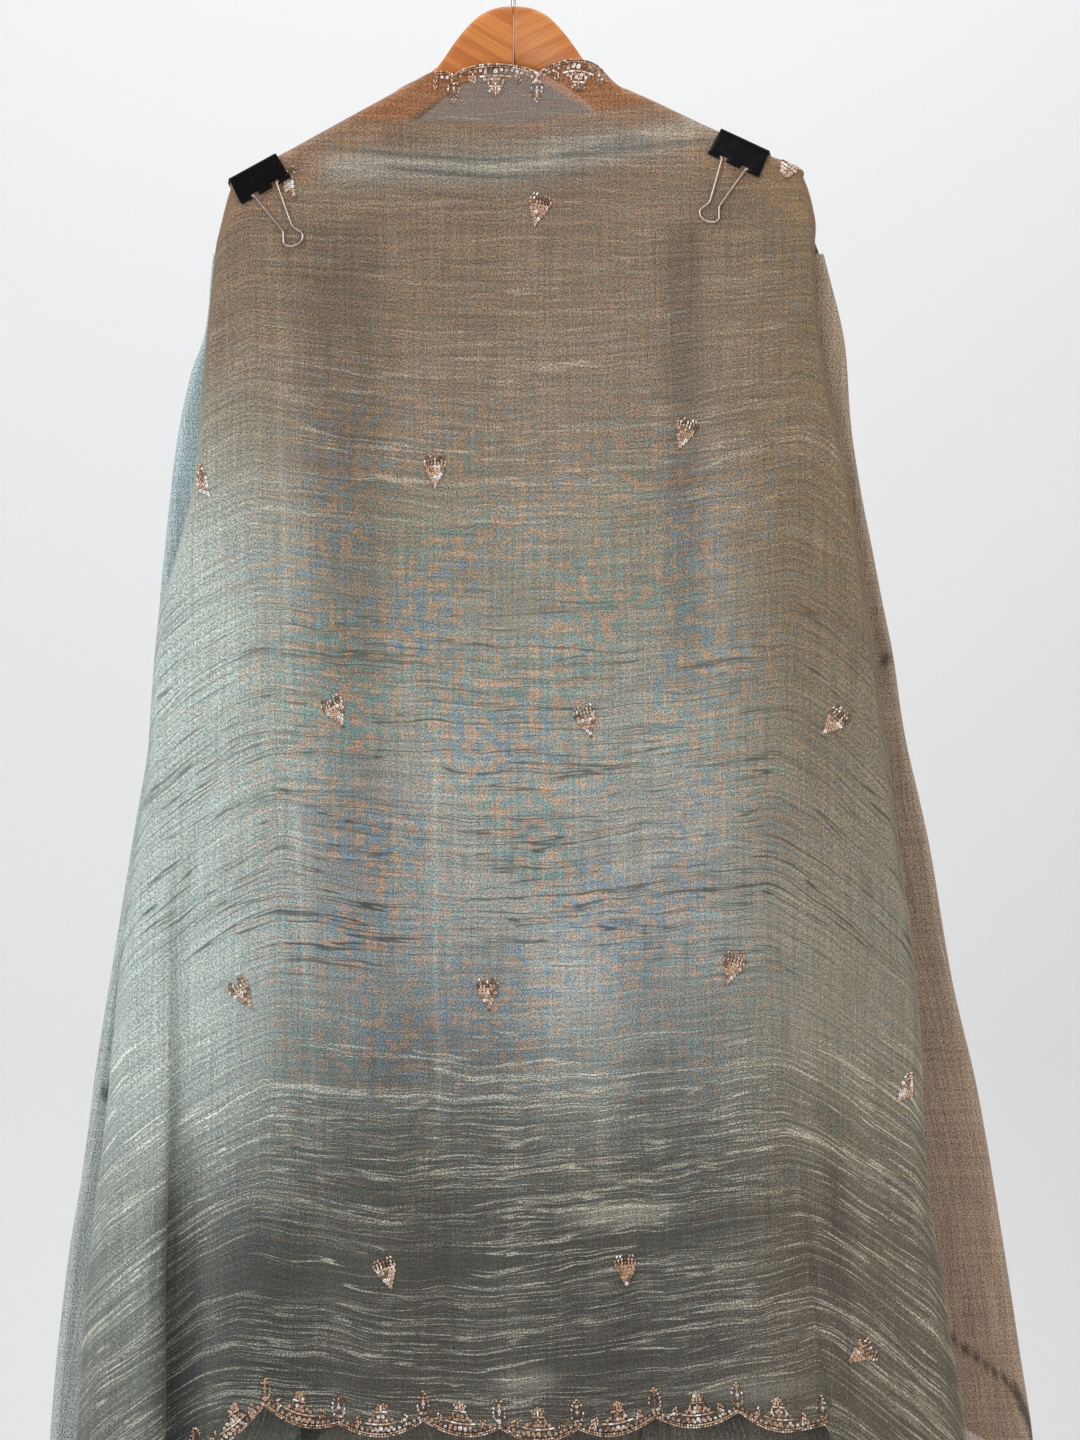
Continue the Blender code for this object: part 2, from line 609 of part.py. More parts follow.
def patch(grid, columns, rows):
    """The points between two columns and two rows of a grid, half a seam in from its cuts."""
    band = [parted(column, *rows, PART_DOWN) for column in grid]
    across = [[column[j] for column in band] for j in range(len(band[0]))]
    lines = [parted(line, *columns, PART_ACROSS) for line in across]
    return [[line[i] for line in lines] for i in range(len(lines[0]))]


def stretches(name, grid, strips):
    """Each piece of a wall that is parted into strips, and each strip at its own rows."""
    for label, first, last, cuts in strips:
        first = first if first >= 0 else len(grid) - 1 + first
        last = last if last > 0 else len(grid) - 1 + last
        rows = (0,) + cuts + (len(grid[0]) - 1,)
        for number, span in enumerate(zip(rows, rows[1:]), 1):
            yield f"{name}_{label}_{number}", patch(grid, (first, last), span)


def sheet_object(name, grid, collection, material, flip=False):
    """A cloth wall from a grid of middle points given in mm as (x, y, drop)."""
    columns = len(grid)
    rows = len(grid[0])
    verts = [place(*point) * 0.001 for column in grid for point in column]
    faces = []
    for i in range(columns - 1):
        for j in range(rows - 1):
            a = i * rows + j
            quad = (a, a + 1, a + rows + 1, a + rows)
            faces.append(tuple(reversed(quad)) if flip else quad)
    mesh = bpy.data.meshes.new(name)
    mesh.from_pydata(verts, [], faces)
    mesh.update()
    item = add_object(name, mesh, collection, material)
    wall = item.modifiers.new("wall", "SOLIDIFY")
    wall.thickness = WALL * 0.001
    wall.offset = 0.0
    wall.use_even_offset = True
    wall.thickness_clamp = 0.0
    return item


def parted_sheet(name, grid, collection, colour, strips, flip=False):
    """One stretch of cloth as simple walls a seam apart."""
    for label, points in stretches(name, grid, strips):
        cloth = make_material(label, colour, 0.7, 0.0)
        sheet_object(label, points, collection, cloth, flip)


def arm_object(side, collection, material):
    """One half of the hanger, lofted from its mitre to its tip."""
    sign = SIGN[side]
    stations = []
    for x, top, under in zip(NECK["x"], NECK["top"], NECK["under"]):
        stations.append((max(x, MITRE_GAP / 2.0), top, under, ARM_THICKNESS))
    for x in (62.0, 72.0, 90.0, 115.0, 140.0, 165.0, 185.0):
        top = arm_line(side, x) + ARM_CLEAR * math.hypot(1.0, ARM_LINE[side]["slope"])
        height = 27.5 - 6.5 * ease(x, 60.0, 200.0)
        blend = ease(x, 50.0, 72.0)
        rise = smooth_at(NECK, "top", min(x, 55.0), "x") + (x - 55.0) * 0.62 * (x > 55.0)
        top = rise + (top - rise) * blend
        under = smooth_at(NECK, "under", min(x, 55.0), "x") + (x - 55.0) * 0.62 * (x > 55.0)
        under = under + (top + height - under) * blend
        stations.append((x, top, under, ARM_THICKNESS))
    base = arm_line(side, 0.0) + ARM_CLEAR * math.hypot(1.0, ARM_LINE[side]["slope"])
    for x, cut, thick in ((195.0, 1.4, 11.6), (200.0, 4.2, 10.2), (ARM_REACH, 8.6, 7.0)):
        top = base + ARM_LINE[side]["slope"] * x
        stations.append((x, top + cut, top + 21.0 - cut, thick))
    bm = bmesh.new()
    rings = []
    for x, top, under, thick in stations:
        half = thick / 2.0
        soft = min(ARM_ROUND, half - 0.6, (under - top) / 2.0 - 0.4)
        ring = []
        for cx, cz, start in ((half - soft, top + soft, 0), (half - soft, under - soft, 1),
                              (-half + soft, under - soft, 2), (-half + soft, top + soft, 3)):
            for k in range(3):
                angle = math.radians(-90.0 + 90.0 * start + 45.0 * k)
                y = cx + soft * math.cos(angle)
                drop = cz + soft * math.sin(angle)
                ring.append(bm.verts.new(place(sign * x, y + arm_plane(x), drop) * 0.001))
        rings.append(ring)
    for a, b in zip(rings, rings[1:]):
        for k in range(len(a)):
            n = (k + 1) % len(a)
            bm.faces.new((a[k], a[n], b[n], b[k]))
    bm.faces.new(rings[0])
    bm.faces.new(rings[-1])
    bmesh.ops.recalc_face_normals(bm, faces=bm.faces)
    mesh = bpy.data.meshes.new("arm_" + side)
    bm.to_mesh(mesh)
    bm.free()
    return add_object("arm_" + side, mesh, collection, material)


def wire_object(name, points, radius, collection, material, origin=(0.0, 0.0, 0.0)):
    """A round wire through points given in metres, its object placed at origin."""
    curve = bpy.data.curves.new(name, "CURVE")
    curve.dimensions = "3D"
    curve.bevel_depth = radius * 0.001
    curve.bevel_resolution = 2
    curve.use_fill_caps = True
    spline = curve.splines.new("POLY")
    spline.points.add(len(points) - 1)
    for item, point in zip(spline.points, points):
        local = point - Vector(origin)
        item.co = (local[0], local[1], local[2], 1.0)
    item = bpy.data.objects.new(name, curve)
    item.location = origin
    collection.objects.link(item)
    curve.materials.append(material)
    return item


def hook_points():
    """Stem, S-bend and open ring of the hook."""
    ring = HOOK_INSIDE + WIRE_HOOK
    centre = -HOOK_INSIDE
    points = [(0.0, WOOD_TOP + 0.5), (0.0, WOOD_TOP + 9.0)]
    start = math.radians(232.0)
    sx = ring * math.cos(start)
    sz = centre + ring * math.sin(start)
    for k in range(1, 6):
        t = k / 6.0
        h = t * t * (3.0 - 2.0 * t)
        low = WOOD_TOP + 9.0
        points.append((sx * h, low + (sz - low) * (t * 0.9 + 0.1 * h)))
    for k in range(22):
        angle = start - math.radians(262.0) * k / 21.0
        points.append((ring * math.cos(angle), centre + ring * math.sin(angle)))
    return [Vector((x, 0.0, z)) * 0.001 for x, z in points]


def clip_frame(side):
    """Axes of a clip: outward along the arm, toward the back and up off the arm."""
    sign = SIGN[side]
    line = ARM_LINE[side]
    distance = line["clip"]
    along = Vector((sign, -KINK, -line["slope"])).normalized()
    back = Vector((sign * KINK, 1.0, 0.0)).normalized()
    up = back.cross(along) * (-sign)
    if up.z < 0.0:
        up = -up
    crown = place(sign * distance, arm_plane(distance), arm_line(side, distance)) * 0.001
    frame = Matrix.Identity(4)
    for row in range(3):
        frame[row][0] = along[row]
        frame[row][1] = back[row]
        frame[row][2] = up[row]
        frame[row][3] = crown[row]
    return frame


def clip_profile():
    """Half of the plate's middle line from the curl's lip to the spine: (depth, height)."""
    face = HANDLE_AXIS - CURL
    points = [(HANDLE_AXIS + CURL, CLIP_JAW + 0.9)]
    for k in range(7):
        angle = math.radians(0.0 - 30.0 * k)
        points.append((HANDLE_AXIS + CURL * math.cos(angle), CLIP_JAW + CURL * math.sin(angle)))
    points.append((face, CLIP_JAW + 1.6))
    points.append((face + 0.7, CLIP_JAW + 9.0))
    points.append((face + 1.45, -0.9))
    points.append((face + 1.2, 0.55))
    points.append((face + 0.3, 1.2))
    points.append((0.0, 1.2))
    return points


def clip_object(side, collection, material):
    half = clip_profile()
    line = [(-d, h) for d, h in half] + [(d, h) for d, h in reversed(half[:-1])]
    cuts = (-20.5, -11.3, -6.9, -5.6, 5.6, 6.9, 11.3, 20.5)
    curl_cells = 8
    frame = clip_frame(side)
    bm = bmesh.new()
    grid = []
    for a in cuts:
        grid.append([])
        for d, h in line:
            narrow = 1.0 - 0.045 * (h - CLIP_JAW) / (1.2 - CLIP_JAW)
            point = Vector((a * max(0.9, narrow), d, h)) * 0.001
            grid[-1].append(bm.verts.new(frame @ point))
    last = len(line) - 1
    for i in range(len(cuts) - 1):
        middle = abs(cuts[i] + cuts[i + 1]) / 2.0
        for j in range(last):
            in_curl = j < curl_cells or j >= last - curl_cells
            if in_curl and 5.6 < middle < 11.3:
                continue
            bm.faces.new((grid[i][j], grid[i][j + 1], grid[i + 1][j + 1], grid[i + 1][j]))
    loose = [v for v in bm.verts if not v.link_faces]
    bmesh.ops.delete(bm, geom=loose, context="VERTS")
    bmesh.ops.recalc_face_normals(bm, faces=bm.faces)
    name = "clip_" + side
    mesh = bpy.data.meshes.new(name)
    bm.to_mesh(mesh)
    bm.free()
    item = add_object(name, mesh, collection, material)
    wall = item.modifiers.new("plate", "SOLIDIFY")
    wall.thickness = CLIP_PLATE * 0.001
    wall.offset = 0.0
    wall.use_even_offset = True
    return item


HANDLE_HALF = ((20.2, 0.0), (10.4, 0.0), (9.75, -0.25), (9.4, -0.9), (3.95, -31.6),
               (4.0, -33.6), (7.3, -39.6), (7.7, -41.2), (6.9, -43.2), (4.6, -45.4), (0.0, -46.4))


def handle_object(side, face, collection, material):
    """The wire lever hung from the lip on one face of a clip."""
    frame = clip_frame(side)
    outward = -1.0 if face == "front" else 1.0
    shape = list(HANDLE_HALF) + [(-a, n) for a, n in reversed(HANDLE_HALF[:-1])]
    points = []
    for a, n in shape:
        lean = 0.6 * max(0.0, -n / 46.4)
        depth = outward * (HANDLE_AXIS - lean)
        points.append(frame @ (Vector((a, depth, CLIP_JAW + n)) * 0.001))
    hinge = frame @ (Vector((0.0, outward * HANDLE_AXIS, CLIP_JAW)) * 0.001)
    name = f"handle_{side}_{face}"
    return wire_object(name, points, WIRE_HANDLE, collection, material, hinge)


def build():
    clear_scene()
    scene = bpy.context.scene
    parts = bpy.data.collections.new("dupatta_stole")
    scene.collection.children.link(parts)

    wood = {s: make_material("wood_" + s, COLOURS["wood"], 0.45, 0.0) for s in SIGN}
    for side in SIGN:
        arm_object(side, parts, wood[side])

    steel = make_material("hook_wire", COLOURS["steel"], 0.2, 1.0)
    wire_object("hook", hook_points(), WIRE_HOOK, parts, steel)

    for side in SIGN:
        black = make_material("clip_" + side, COLOURS["black"], 0.25, 0.0)
        clip_object(side, parts, black)
        for face in ("front", "back"):
            wire = make_material(f"handle_{side}_{face}", COLOURS["steel"], 0.25, 1.0)
            handle_object(side, face, parts, wire)

    parted_sheet("front", front_grid(), parts, COLOURS["front"], STRIPS["front"])

    turns = (0.25, 0.5, 0.75, 1.0)
    for side in SIGN:
        flip = side == "left"
        # the return's rows meet the rows of the front panel's roll
        across = 0.0 if side == "left" else 1.0
        start = panel_start(across)
        low = hem_drop(across)
        first = ROWS_FRONT[RETURN_FROM]
        top = start + (low - start) * first
        rows = [(r - first) / (1.0 - first) for r in ROWS_FRONT[RETURN_FROM:]]
        shares = [k / 9.0 for k in range(10)]
        lows = scalloped(shares, low, 1166.0, 3, 9.0)
        grid = fall_grid(side, return_row, shares, turns, top, lows, rows)
        parted_sheet("return_" + side, grid, parts, COLOURS["return"], STRIPS["return"], flip)

        shares = [k / 16.0 for k in range(17)]
        lows = scalloped(shares, 1166.0, BACK_LOW, 4, 9.0)
        grid = fall_grid(side, back_row, shares, turns, BACK_TOP, lows, ROWS_BACK)
        parted_sheet("back_" + side, grid, parts, COLOURS["back"], STRIPS["back"], flip)

        grid = [list(line) for line in zip(*inner_grid(side))]
        parted_sheet("inner_" + side, grid, parts, COLOURS["inner"], STRIPS["inner"], not flip)


build()
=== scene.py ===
# %% [markdown]
# # A dupatta on a wooden hanger
# A dupatta is a long stole. This one is sheer tissue cloth with crinkles along its length and a
# scalloped border of beads and sequins. It lies over a wooden hanger and two binder clips keep it
# there. Each cell below makes one piece or one finish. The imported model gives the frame, so every
# piece is made where the frame says and nothing is fitted afterwards.

import math

import bmesh
import bpy
import numpy as np
from mathutils import Matrix, Vector


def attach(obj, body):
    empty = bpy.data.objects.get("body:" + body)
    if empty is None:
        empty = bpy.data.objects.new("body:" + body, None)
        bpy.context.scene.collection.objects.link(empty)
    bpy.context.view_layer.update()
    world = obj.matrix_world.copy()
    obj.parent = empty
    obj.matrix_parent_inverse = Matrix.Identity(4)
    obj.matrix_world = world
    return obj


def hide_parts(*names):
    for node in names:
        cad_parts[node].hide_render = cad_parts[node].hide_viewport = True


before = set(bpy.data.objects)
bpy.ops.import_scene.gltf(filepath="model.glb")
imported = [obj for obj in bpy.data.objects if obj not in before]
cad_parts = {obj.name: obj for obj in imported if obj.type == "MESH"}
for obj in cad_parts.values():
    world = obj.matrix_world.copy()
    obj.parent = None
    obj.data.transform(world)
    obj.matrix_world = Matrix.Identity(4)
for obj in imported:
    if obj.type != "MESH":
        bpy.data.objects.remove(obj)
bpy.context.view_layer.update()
HOLDER = "hanger_and_cloth"

# %% [markdown]
# ## Sizes
# Everything below is in millimetres. "drop" is the distance under the top of the wood, "x" runs to
# the right and "y" runs away from the front. Each table has named columns, so a shape can be read
# from it by name. The tables are short: a smooth curve through a few rows gives soft cloth, and
# many rows would give lumps.

# %% Driving sizes
MM = 0.001
WOOD_TOP = -66.0
KINK = math.tan(math.radians(7.0))
ARM_REACH = 203.0
MITRE_GAP = 0.15
LAY = 7.1
WALL = 1.2
CLIP_JAW = -17.6
HANDLE_AXIS = 10.0
SIGN = {"left": -1.0, "right": 1.0}
ARM_LINE = {
    "left": {"x": 155.5, "drop": 104, "slope": 0.575, "clip": 190},
    "right": {"x": 151.1, "drop": 95.2, "slope": 0.49, "clip": 169.7},
}
NECK = {
    "x": (0, 8, 16, 25, 34, 42, 49, 55),
    "top": (0, 0.7, 2.9, 7.8, 16.6, 26.6, 37, 45.5),
    "under": (43.5, 44.4, 47.2, 51.4, 56.4, 61.8, 67, 71.6),
}

# %% Outlines of the front and back edges
FRONT_EDGE = {
    "left": {
        "drop": (118, 132, 142, 153, 166, 180, 210, 255, 350, 400, 452, 576, 657, 803, 949, 1051,
                 1240, 1372),
        "x": (188, 203.5, 207.5, 210.5, 213.5, 216.5, 219.5, 224, 232, 243, 257.5, 267, 279.6,
              292.7, 308.8, 314.6, 325, 332),
        "y": (-31.5, -32.6, -33, -33.2, -33.4, -33.7, -34.4, -36, -39, -40, -41, -43, -45, -48,
              -51, -53, -56, -58),
        "roll": (7.1, 7.1, 7.1, 7.1, 6.4, 5, 3.4, 3.2, 3.2, 3.4, 4, 6.5, 9, 12, 14.5, 15.5, 16, 16),
        "turn": (88, 88, 88, 90, 104, 135, 180, 180, 180, 180, 180, 180, 180, 180, 180, 180, 180,
                 180),
    },
    "right": {
        "drop": (98, 112, 121, 128, 136, 152, 166, 184, 210, 255, 345, 460, 601, 744, 840, 963,
                 1046, 1240, 1380),
        "x": (178, 197, 206.6, 211, 214.6, 219, 221, 220, 221, 224.8, 242.4, 260.6, 278.4, 294.5,
              298.6, 315, 327.4, 347, 363),
        "y": (-29.5, -31.6, -32.6, -33, -33.3, -33.6, -33.9, -34.2, -34.8, -36, -38.5, -41, -44,
              -47.5, -49.5, -52, -53.5, -56, -58),
        "roll": (7.1, 7.1, 7.1, 7.1, 7.1, 7.1, 6, 4.2, 3.4, 3.2, 3.4, 4, 6, 8.5, 10, 11.5, 12,
                 12.5, 12.5),
        "turn": (88, 88, 88, 88, 88, 92, 112, 150, 180, 180, 180, 180, 180, 180, 180, 180, 180,
                 180, 180),
    },
}
BACK_EDGE = {
    "left": {
        "drop": (168, 185, 241, 270, 321, 380, 452, 526, 606, 693, 781, 861, 927, 1051, 1090),
        "x": (216, 219.5, 225.5, 235.8, 246.7, 254, 261.3, 266.5, 279.6, 294.2, 308.8, 319.7,
              330.7, 343.8, 346),
        "y": (-20.4, -19.8, -17, -15.5, -13, -10, -6.5, -3, 1, 5, 9, 12, 14, 17, 18),
        "roll": (3, 3, 3.2, 3.4, 3.6, 3.8, 4, 4.2, 4.5, 4.8, 5, 5, 5, 5, 5),
    },
    "right": {
        "drop": (168, 185, 255, 306, 357, 401, 440, 478, 529, 614, 717, 799, 909, 1000, 1051, 1090),
        "x": (223.6, 227.5, 243.8, 247.7, 255.4, 264.3, 272, 279.9, 287.4, 306.6, 324.6, 343.8,
              362.8, 377, 385, 389),
        "y": (-20.4, -19.8, -16.5, -13.5, -11, -8.5, -6.5, -4.5, -2, 2.5, 7, 10.5, 14, 16.5, 18,
              19),
        "roll": (3, 3, 3.3, 3.5, 3.7, 3.9, 4, 4.1, 4.2, 4.5, 4.8, 5, 5, 5, 5, 5),
    },
}
INNER_FOLD = {
    "left": {
        "drop": (168, 200, 255, 365, 511, 657, 803, 949, 1051, 1180),
        "x": (206.5, 205, 201, 192, 184, 178, 171, 163, 156, 148),
        "y": (-25.3, -25, -24, -20, -15, -10, -6, -3, -1, 1),
        "roll": (1.5, 1.7, 2, 2.5, 3, 3.5, 4, 4, 4, 4),
    },
    "right": {
        "drop": (168, 200, 255, 365, 511, 657, 803, 949, 1051, 1180),
        "x": (211, 209, 204, 191, 173, 152, 129, 104, 84, 66),
        "y": (-25.3, -25, -24, -20, -15, -10, -6, -3, -1, 1),
        "roll": (1.5, 1.7, 2, 2.5, 3, 3.5, 4, 4, 4, 4),
    },
}

# %% Lines of the neck edge, the hem and the bottoms
NECK_BORDER = {
    "left": {
        "outer": (65, 83, 105, 124, 142, 185, 320, 520, 740, 930, 1051),
        "x": (83.7, 105, 130.6, 152.6, 160, 158, 150, 142, 134, 127, 129),
        "drop": (72, 107, 151, 189, 208, 250, 385, 570, 780, 970, 1072),
        "y": (0, 0, 0, -3, -3, -1, 6, 12, 18, 22, 24),
    },
    "right": {
        "outer": (67, 79, 94, 110, 136, 185, 320, 520, 740, 930, 1051),
        "x": (89, 109, 129, 148, 160, 161, 160, 163, 168, 173, 176),
        "drop": (73.8, 99, 134, 171, 204, 250, 375, 540, 720, 870, 942),
        "y": (0, 0, 0, -3, -3, -1, 6, 12, 18, 22, 24),
    },
}
NECK_LINE = {
    "x": (-92, -72, -57, -43, -14, 16, 45, 58, 75, 92),
    "drop": (68, 57.5, 48.5, 44.5, 43.6, 43.4, 40.6, 43, 55, 66),
}
SCALLOP = {"pitch": 61, "cusp": -43.5, "depth": 8.4}
HEM = {
    "place": (0, 0.012, 0.024, 0.036, 0.07, 0.11, 0.1934, 0.281, 0.381, 0.472, 0.564, 0.6576,
              0.7565, 0.845, 0.878, 0.908, 0.938, 0.968, 1),
    "drop": (1372, 1288, 1200, 1114, 1088, 1058, 1021, 1036, 1033, 1038.5, 1039, 1031.5, 1025,
             1034, 1062, 1150, 1232, 1308, 1380),
    "bow": (12, 14, 14, 3, 4, 7, 8.5, 9, 10, 9, 9.5, 9.5, 9, 2, 14, 14, 14, 12, 0),
}
BACK_TOP = 185.0
RETURN_LOW = 1166.0
BACK_LOW = 1082.0

# %% Folds and pleats of the front panel
PANEL_FOLDS = (
    {
        "drop": (200, 300, 511, 803, 949, 1060),
        "x": (-174, -171, -163, -146, -134, -130),
        "rise": (0, -3, -5, -6, -5, -4),
        "half": 17,
    },
    {
        "drop": (200, 360, 511, 803, 949, 1060),
        "x": (-132, -130, -124, -104, -92, -86),
        "rise": (0, 3, 5, 7, 7, 6),
        "half": 24,
    },
    {
        "drop": (200, 440, 560, 750, 860, 1060),
        "x": (-57, -57, -57, -55, -50, -40),
        "rise": (0, 0, -3, -5, -5, -6),
        "half": 20,
    },
    {
        "drop": (180, 300, 480, 700, 900, 1060),
        "x": (115, 114, 112, 104, 96, 92),
        "rise": (0, -4, -4, -3, -4, -6),
        "half": 22,
    },
    {
        "drop": (180, 380, 560, 760, 940, 1060),
        "x": (160, 168, 176, 180, 182, 184),
        "rise": (0, 2, 4, 6, 8, 9),
        "half": 26,
    },
    {
        "drop": (200, 560, 760, 940, 1060),
        "x": (30, 30, 28, 22, 18),
        "rise": (0, 1, 3, 5, 6),
        "half": 30,
    },
)
PLEAT = {
    "left": {
        "place": 0.0512,
        "half": 0.02,
        "drop": (460, 600, 700, 800, 900, 1000, 1060, 1400),
        "fold": (0, 3, 10, 26, 44, 58, 62, 66),
        "step": (0, 7, 13, 18, 21, 23, 24, 25),
    },
    "right": {
        "place": 0.862,
        "half": 0.02,
        "drop": (460, 600, 720, 840, 950, 1050, 1400),
        "fold": (0, 2, 5, 9, 14, 18, 20),
        "step": (0, 4, 8, 12, 15, 17, 18),
    },
}

# %% [markdown]
# ## Reading a table
# A table is read along a smooth curve that never overshoots its rows: cloth edges that overshoot
# look like bent wire. The readers take whole arrays, because a cloth has tens of thousands of
# points and numpy reads them all in one go.

# %% Readers
def read(table, column, at, key="drop"):
    """Values of a column at many places between the rows of its table."""
    xs = np.array(table[key], float)
    ys = np.array(table[column], float)
    straight = np.diff(ys) / np.diff(xs)
    slope = np.zeros_like(ys)
    slope[0], slope[-1] = straight[0], straight[-1]
    before, after = straight[:-1], straight[1:]
    same_way = before * after > 0.0
    total = np.where(same_way, before + after, 1.0)
    slope[1:-1] = np.where(same_way, 2.0 * before * after / total, 0.0)
    at = np.asarray(at, float)
    i = np.clip(np.searchsorted(xs, at, side="right") - 1, 0, len(xs) - 2)
    width = xs[i + 1] - xs[i]
    t = np.clip((at - xs[i]) / width, 0.0, 1.0)
    value = (1.0 + 2.0 * t) * (1.0 - t) ** 2 * ys[i] + t * (1.0 - t) ** 2 * width * slope[i]
    value += t * t * (3.0 - 2.0 * t) * ys[i + 1] + t * t * (t - 1.0) * width * slope[i + 1]
    return value + np.maximum(at - xs[-1], 0.0) * straight[-1]


def ease(value, start, end):
    """0 before start, 1 after end and a smooth rise between them."""
    t = np.clip((np.asarray(value, float) - start) / (end - start), 0.0, 1.0)
    return t * t * (3.0 - 2.0 * t)


def by_side(x, left, right):
    return np.where(np.asarray(x) < 0.0, left, right)


def unit(vectors):
    """The same directions, each with a length of one."""
    return vectors / np.linalg.norm(vectors, axis=-1, keepdims=True)


def arm_line(side, distance):
    line = ARM_LINE[side]
    return line["drop"] + line["slope"] * (distance - line["x"])


def arm_slope(x):
    return by_side(x, ARM_LINE["left"]["slope"], ARM_LINE["right"]["slope"])


def arm_plane(x):
    return -KINK * np.abs(x)


print("front edge at drop 600:", read(FRONT_EDGE["left"], "x", 600.0).round(1), "mm")

# %% [markdown]
# ## The front panel as a function
# The panel is one sheet: a point on it is a share across it and a drop. It hangs in a shallow bow,
# has soft folds that open towards the hem, a pleat at each side, and rolls over at both edges. A
# function of two shares is easy to sample finely for the cloth and again for the beads on it.

# %% Shape of the front panel
def neck_drop(x):
    """Drop of the panel's top edge: the scalloped border, then the line over the arm."""
    x = np.asarray(x, float)
    over = by_side(x, arm_line("left", np.abs(x)), arm_line("right", np.abs(x))) + 0.6
    border = read(NECK_LINE, "drop", x, "x")
    phase = (x - SCALLOP["cusp"]) / SCALLOP["pitch"]
    t = 2.0 * (phase - np.floor(phase)) - 1.0
    rise = (1.0 - np.sqrt(1.0 - 0.93 * t * t)) / (1.0 - math.sqrt(0.07))
    mix = ease(np.abs(x), 66.0, 88.0)
    return (border + SCALLOP["depth"] * rise) * (1.0 - mix) + over * mix


COWL_RIDGES = ((1.0, 0.9, 2.6), (24.0, 1.1, 3.4), (30.0, 0.8, 2.4), (52.0, 0.9, 5.0))


def cowl(x, drop):
    """Shallow folds that sag between the clips."""
    window = np.exp(-(x / 105.0) ** 4)
    sag = 14.0 * (np.maximum(x, 0.0) / 102.0) ** 2 + 2.0 * (np.minimum(x, 0.0) / 108.0) ** 2
    ridge = 88.0 - sag
    rise = 3.6 * np.exp(-((drop - ridge - 10.0) / 9.0) ** 2)
    rise = rise + 2.4 * np.exp(-((drop - ridge - 38.0) / 12.0) ** 2)
    for offset, height, half in COWL_RIDGES:
        wander = 2.0 * np.sin(x / 31.0 + offset)
        rise = rise + height * np.exp(-((drop - ridge - offset - wander) / half) ** 2)
    return rise * window


def panel_depth(across, x, drop):
    near = -KINK * np.sqrt(x * x + 400.0) - LAY
    left = read(FRONT_EDGE["left"], "y", drop)
    right = read(FRONT_EDGE["right"], "y", drop)
    side = left + (right - left) * across
    middle = -11.0 - 27.0 * ease(drop, 150.0, 900.0)
    low = middle + (side - middle) * np.abs(2.0 * across - 1.0) ** 1.7
    depth = near + (low - near) * ease(drop, 196.0, 520.0)
    for fold in PANEL_FOLDS:
        centre = read(fold, "x", drop)
        rise = read(fold, "rise", np.minimum(drop, 1060.0))
        depth = depth - rise * np.exp(-((x - centre) / fold["half"]) ** 2)
    return depth - cowl(x, drop)


def panel_point(across, drop, roll=0.0):
    """x and y of the cloth; roll is -1 to 0 round the left edge and 0 to 1 round the right."""
    across = np.asarray(across, float)
    roll_l = read(FRONT_EDGE["left"], "roll", drop)
    roll_r = read(FRONT_EDGE["right"], "roll", drop)
    x_left = -(read(FRONT_EDGE["left"], "x", drop) - WALL / 2.0 - roll_l)
    x_right = read(FRONT_EDGE["right"], "x", drop) - WALL / 2.0 - roll_r
    x = x_left + (x_right - x_left) * across
    y = panel_depth(across, x, drop)
    for side, pleat in PLEAT.items():
        fold = read(pleat, "fold", np.maximum(drop, pleat["drop"][0]))
        step = read(pleat, "step", np.maximum(drop, pleat["drop"][0]))
        t = (across - pleat["place"]) / pleat["half"]
        x = x - fold * t * np.exp(-t * t)
        s = t if side == "left" else -t
        y = y - step * (2.0 - np.tanh((s - 0.6) / 0.35) - np.tanh((s + 0.6) / 0.35)) / 4.0
    left = np.radians(read(FRONT_EDGE["left"], "turn", drop)) * np.maximum(-roll, 0.0)
    right = np.radians(read(FRONT_EDGE["right"], "turn", drop)) * np.maximum(roll, 0.0)
    x = x - roll_l * np.sin(left) + roll_r * np.sin(right)
    y = y + roll_l * (1.0 - np.cos(left)) + roll_r * (1.0 - np.cos(right))
    return x, y


def hem_drop(across):
    at = np.array(HEM["place"])
    across = np.clip(across, 0.0, 1.0)
    i = np.clip(np.searchsorted(at, across, side="right") - 1, 0, len(at) - 2)
    t = (across - at[i]) / (at[i + 1] - at[i])
    drops = np.array(HEM["drop"])
    bow = np.array(HEM["bow"])[i]
    return drops[i] * (1.0 - t) + drops[i + 1] * t + bow * (1.0 - (2.0 * t - 1.0) ** 2)


FIRST_GUESS, SETTLE_STEPS = 110.0, 14
OVER_TURN = math.radians(88.0)


def find_start(across):
    """Drop where each column leaves the turn over the arm or the border."""
    drop = np.full(np.shape(across), FIRST_GUESS)
    for _ in range(SETTLE_STEPS):
        x, _y = panel_point(across, drop)
        drop = neck_drop(x) + LAY * np.hypot(1.0, arm_slope(x))
    return drop


START_AT = np.linspace(0.0, 1.0, 1601)
START_DROP = find_start(START_AT)


def panel_start(across):
    """The same, looked up, because thousands of beads ask for it."""
    return np.interp(across, START_AT, START_DROP)


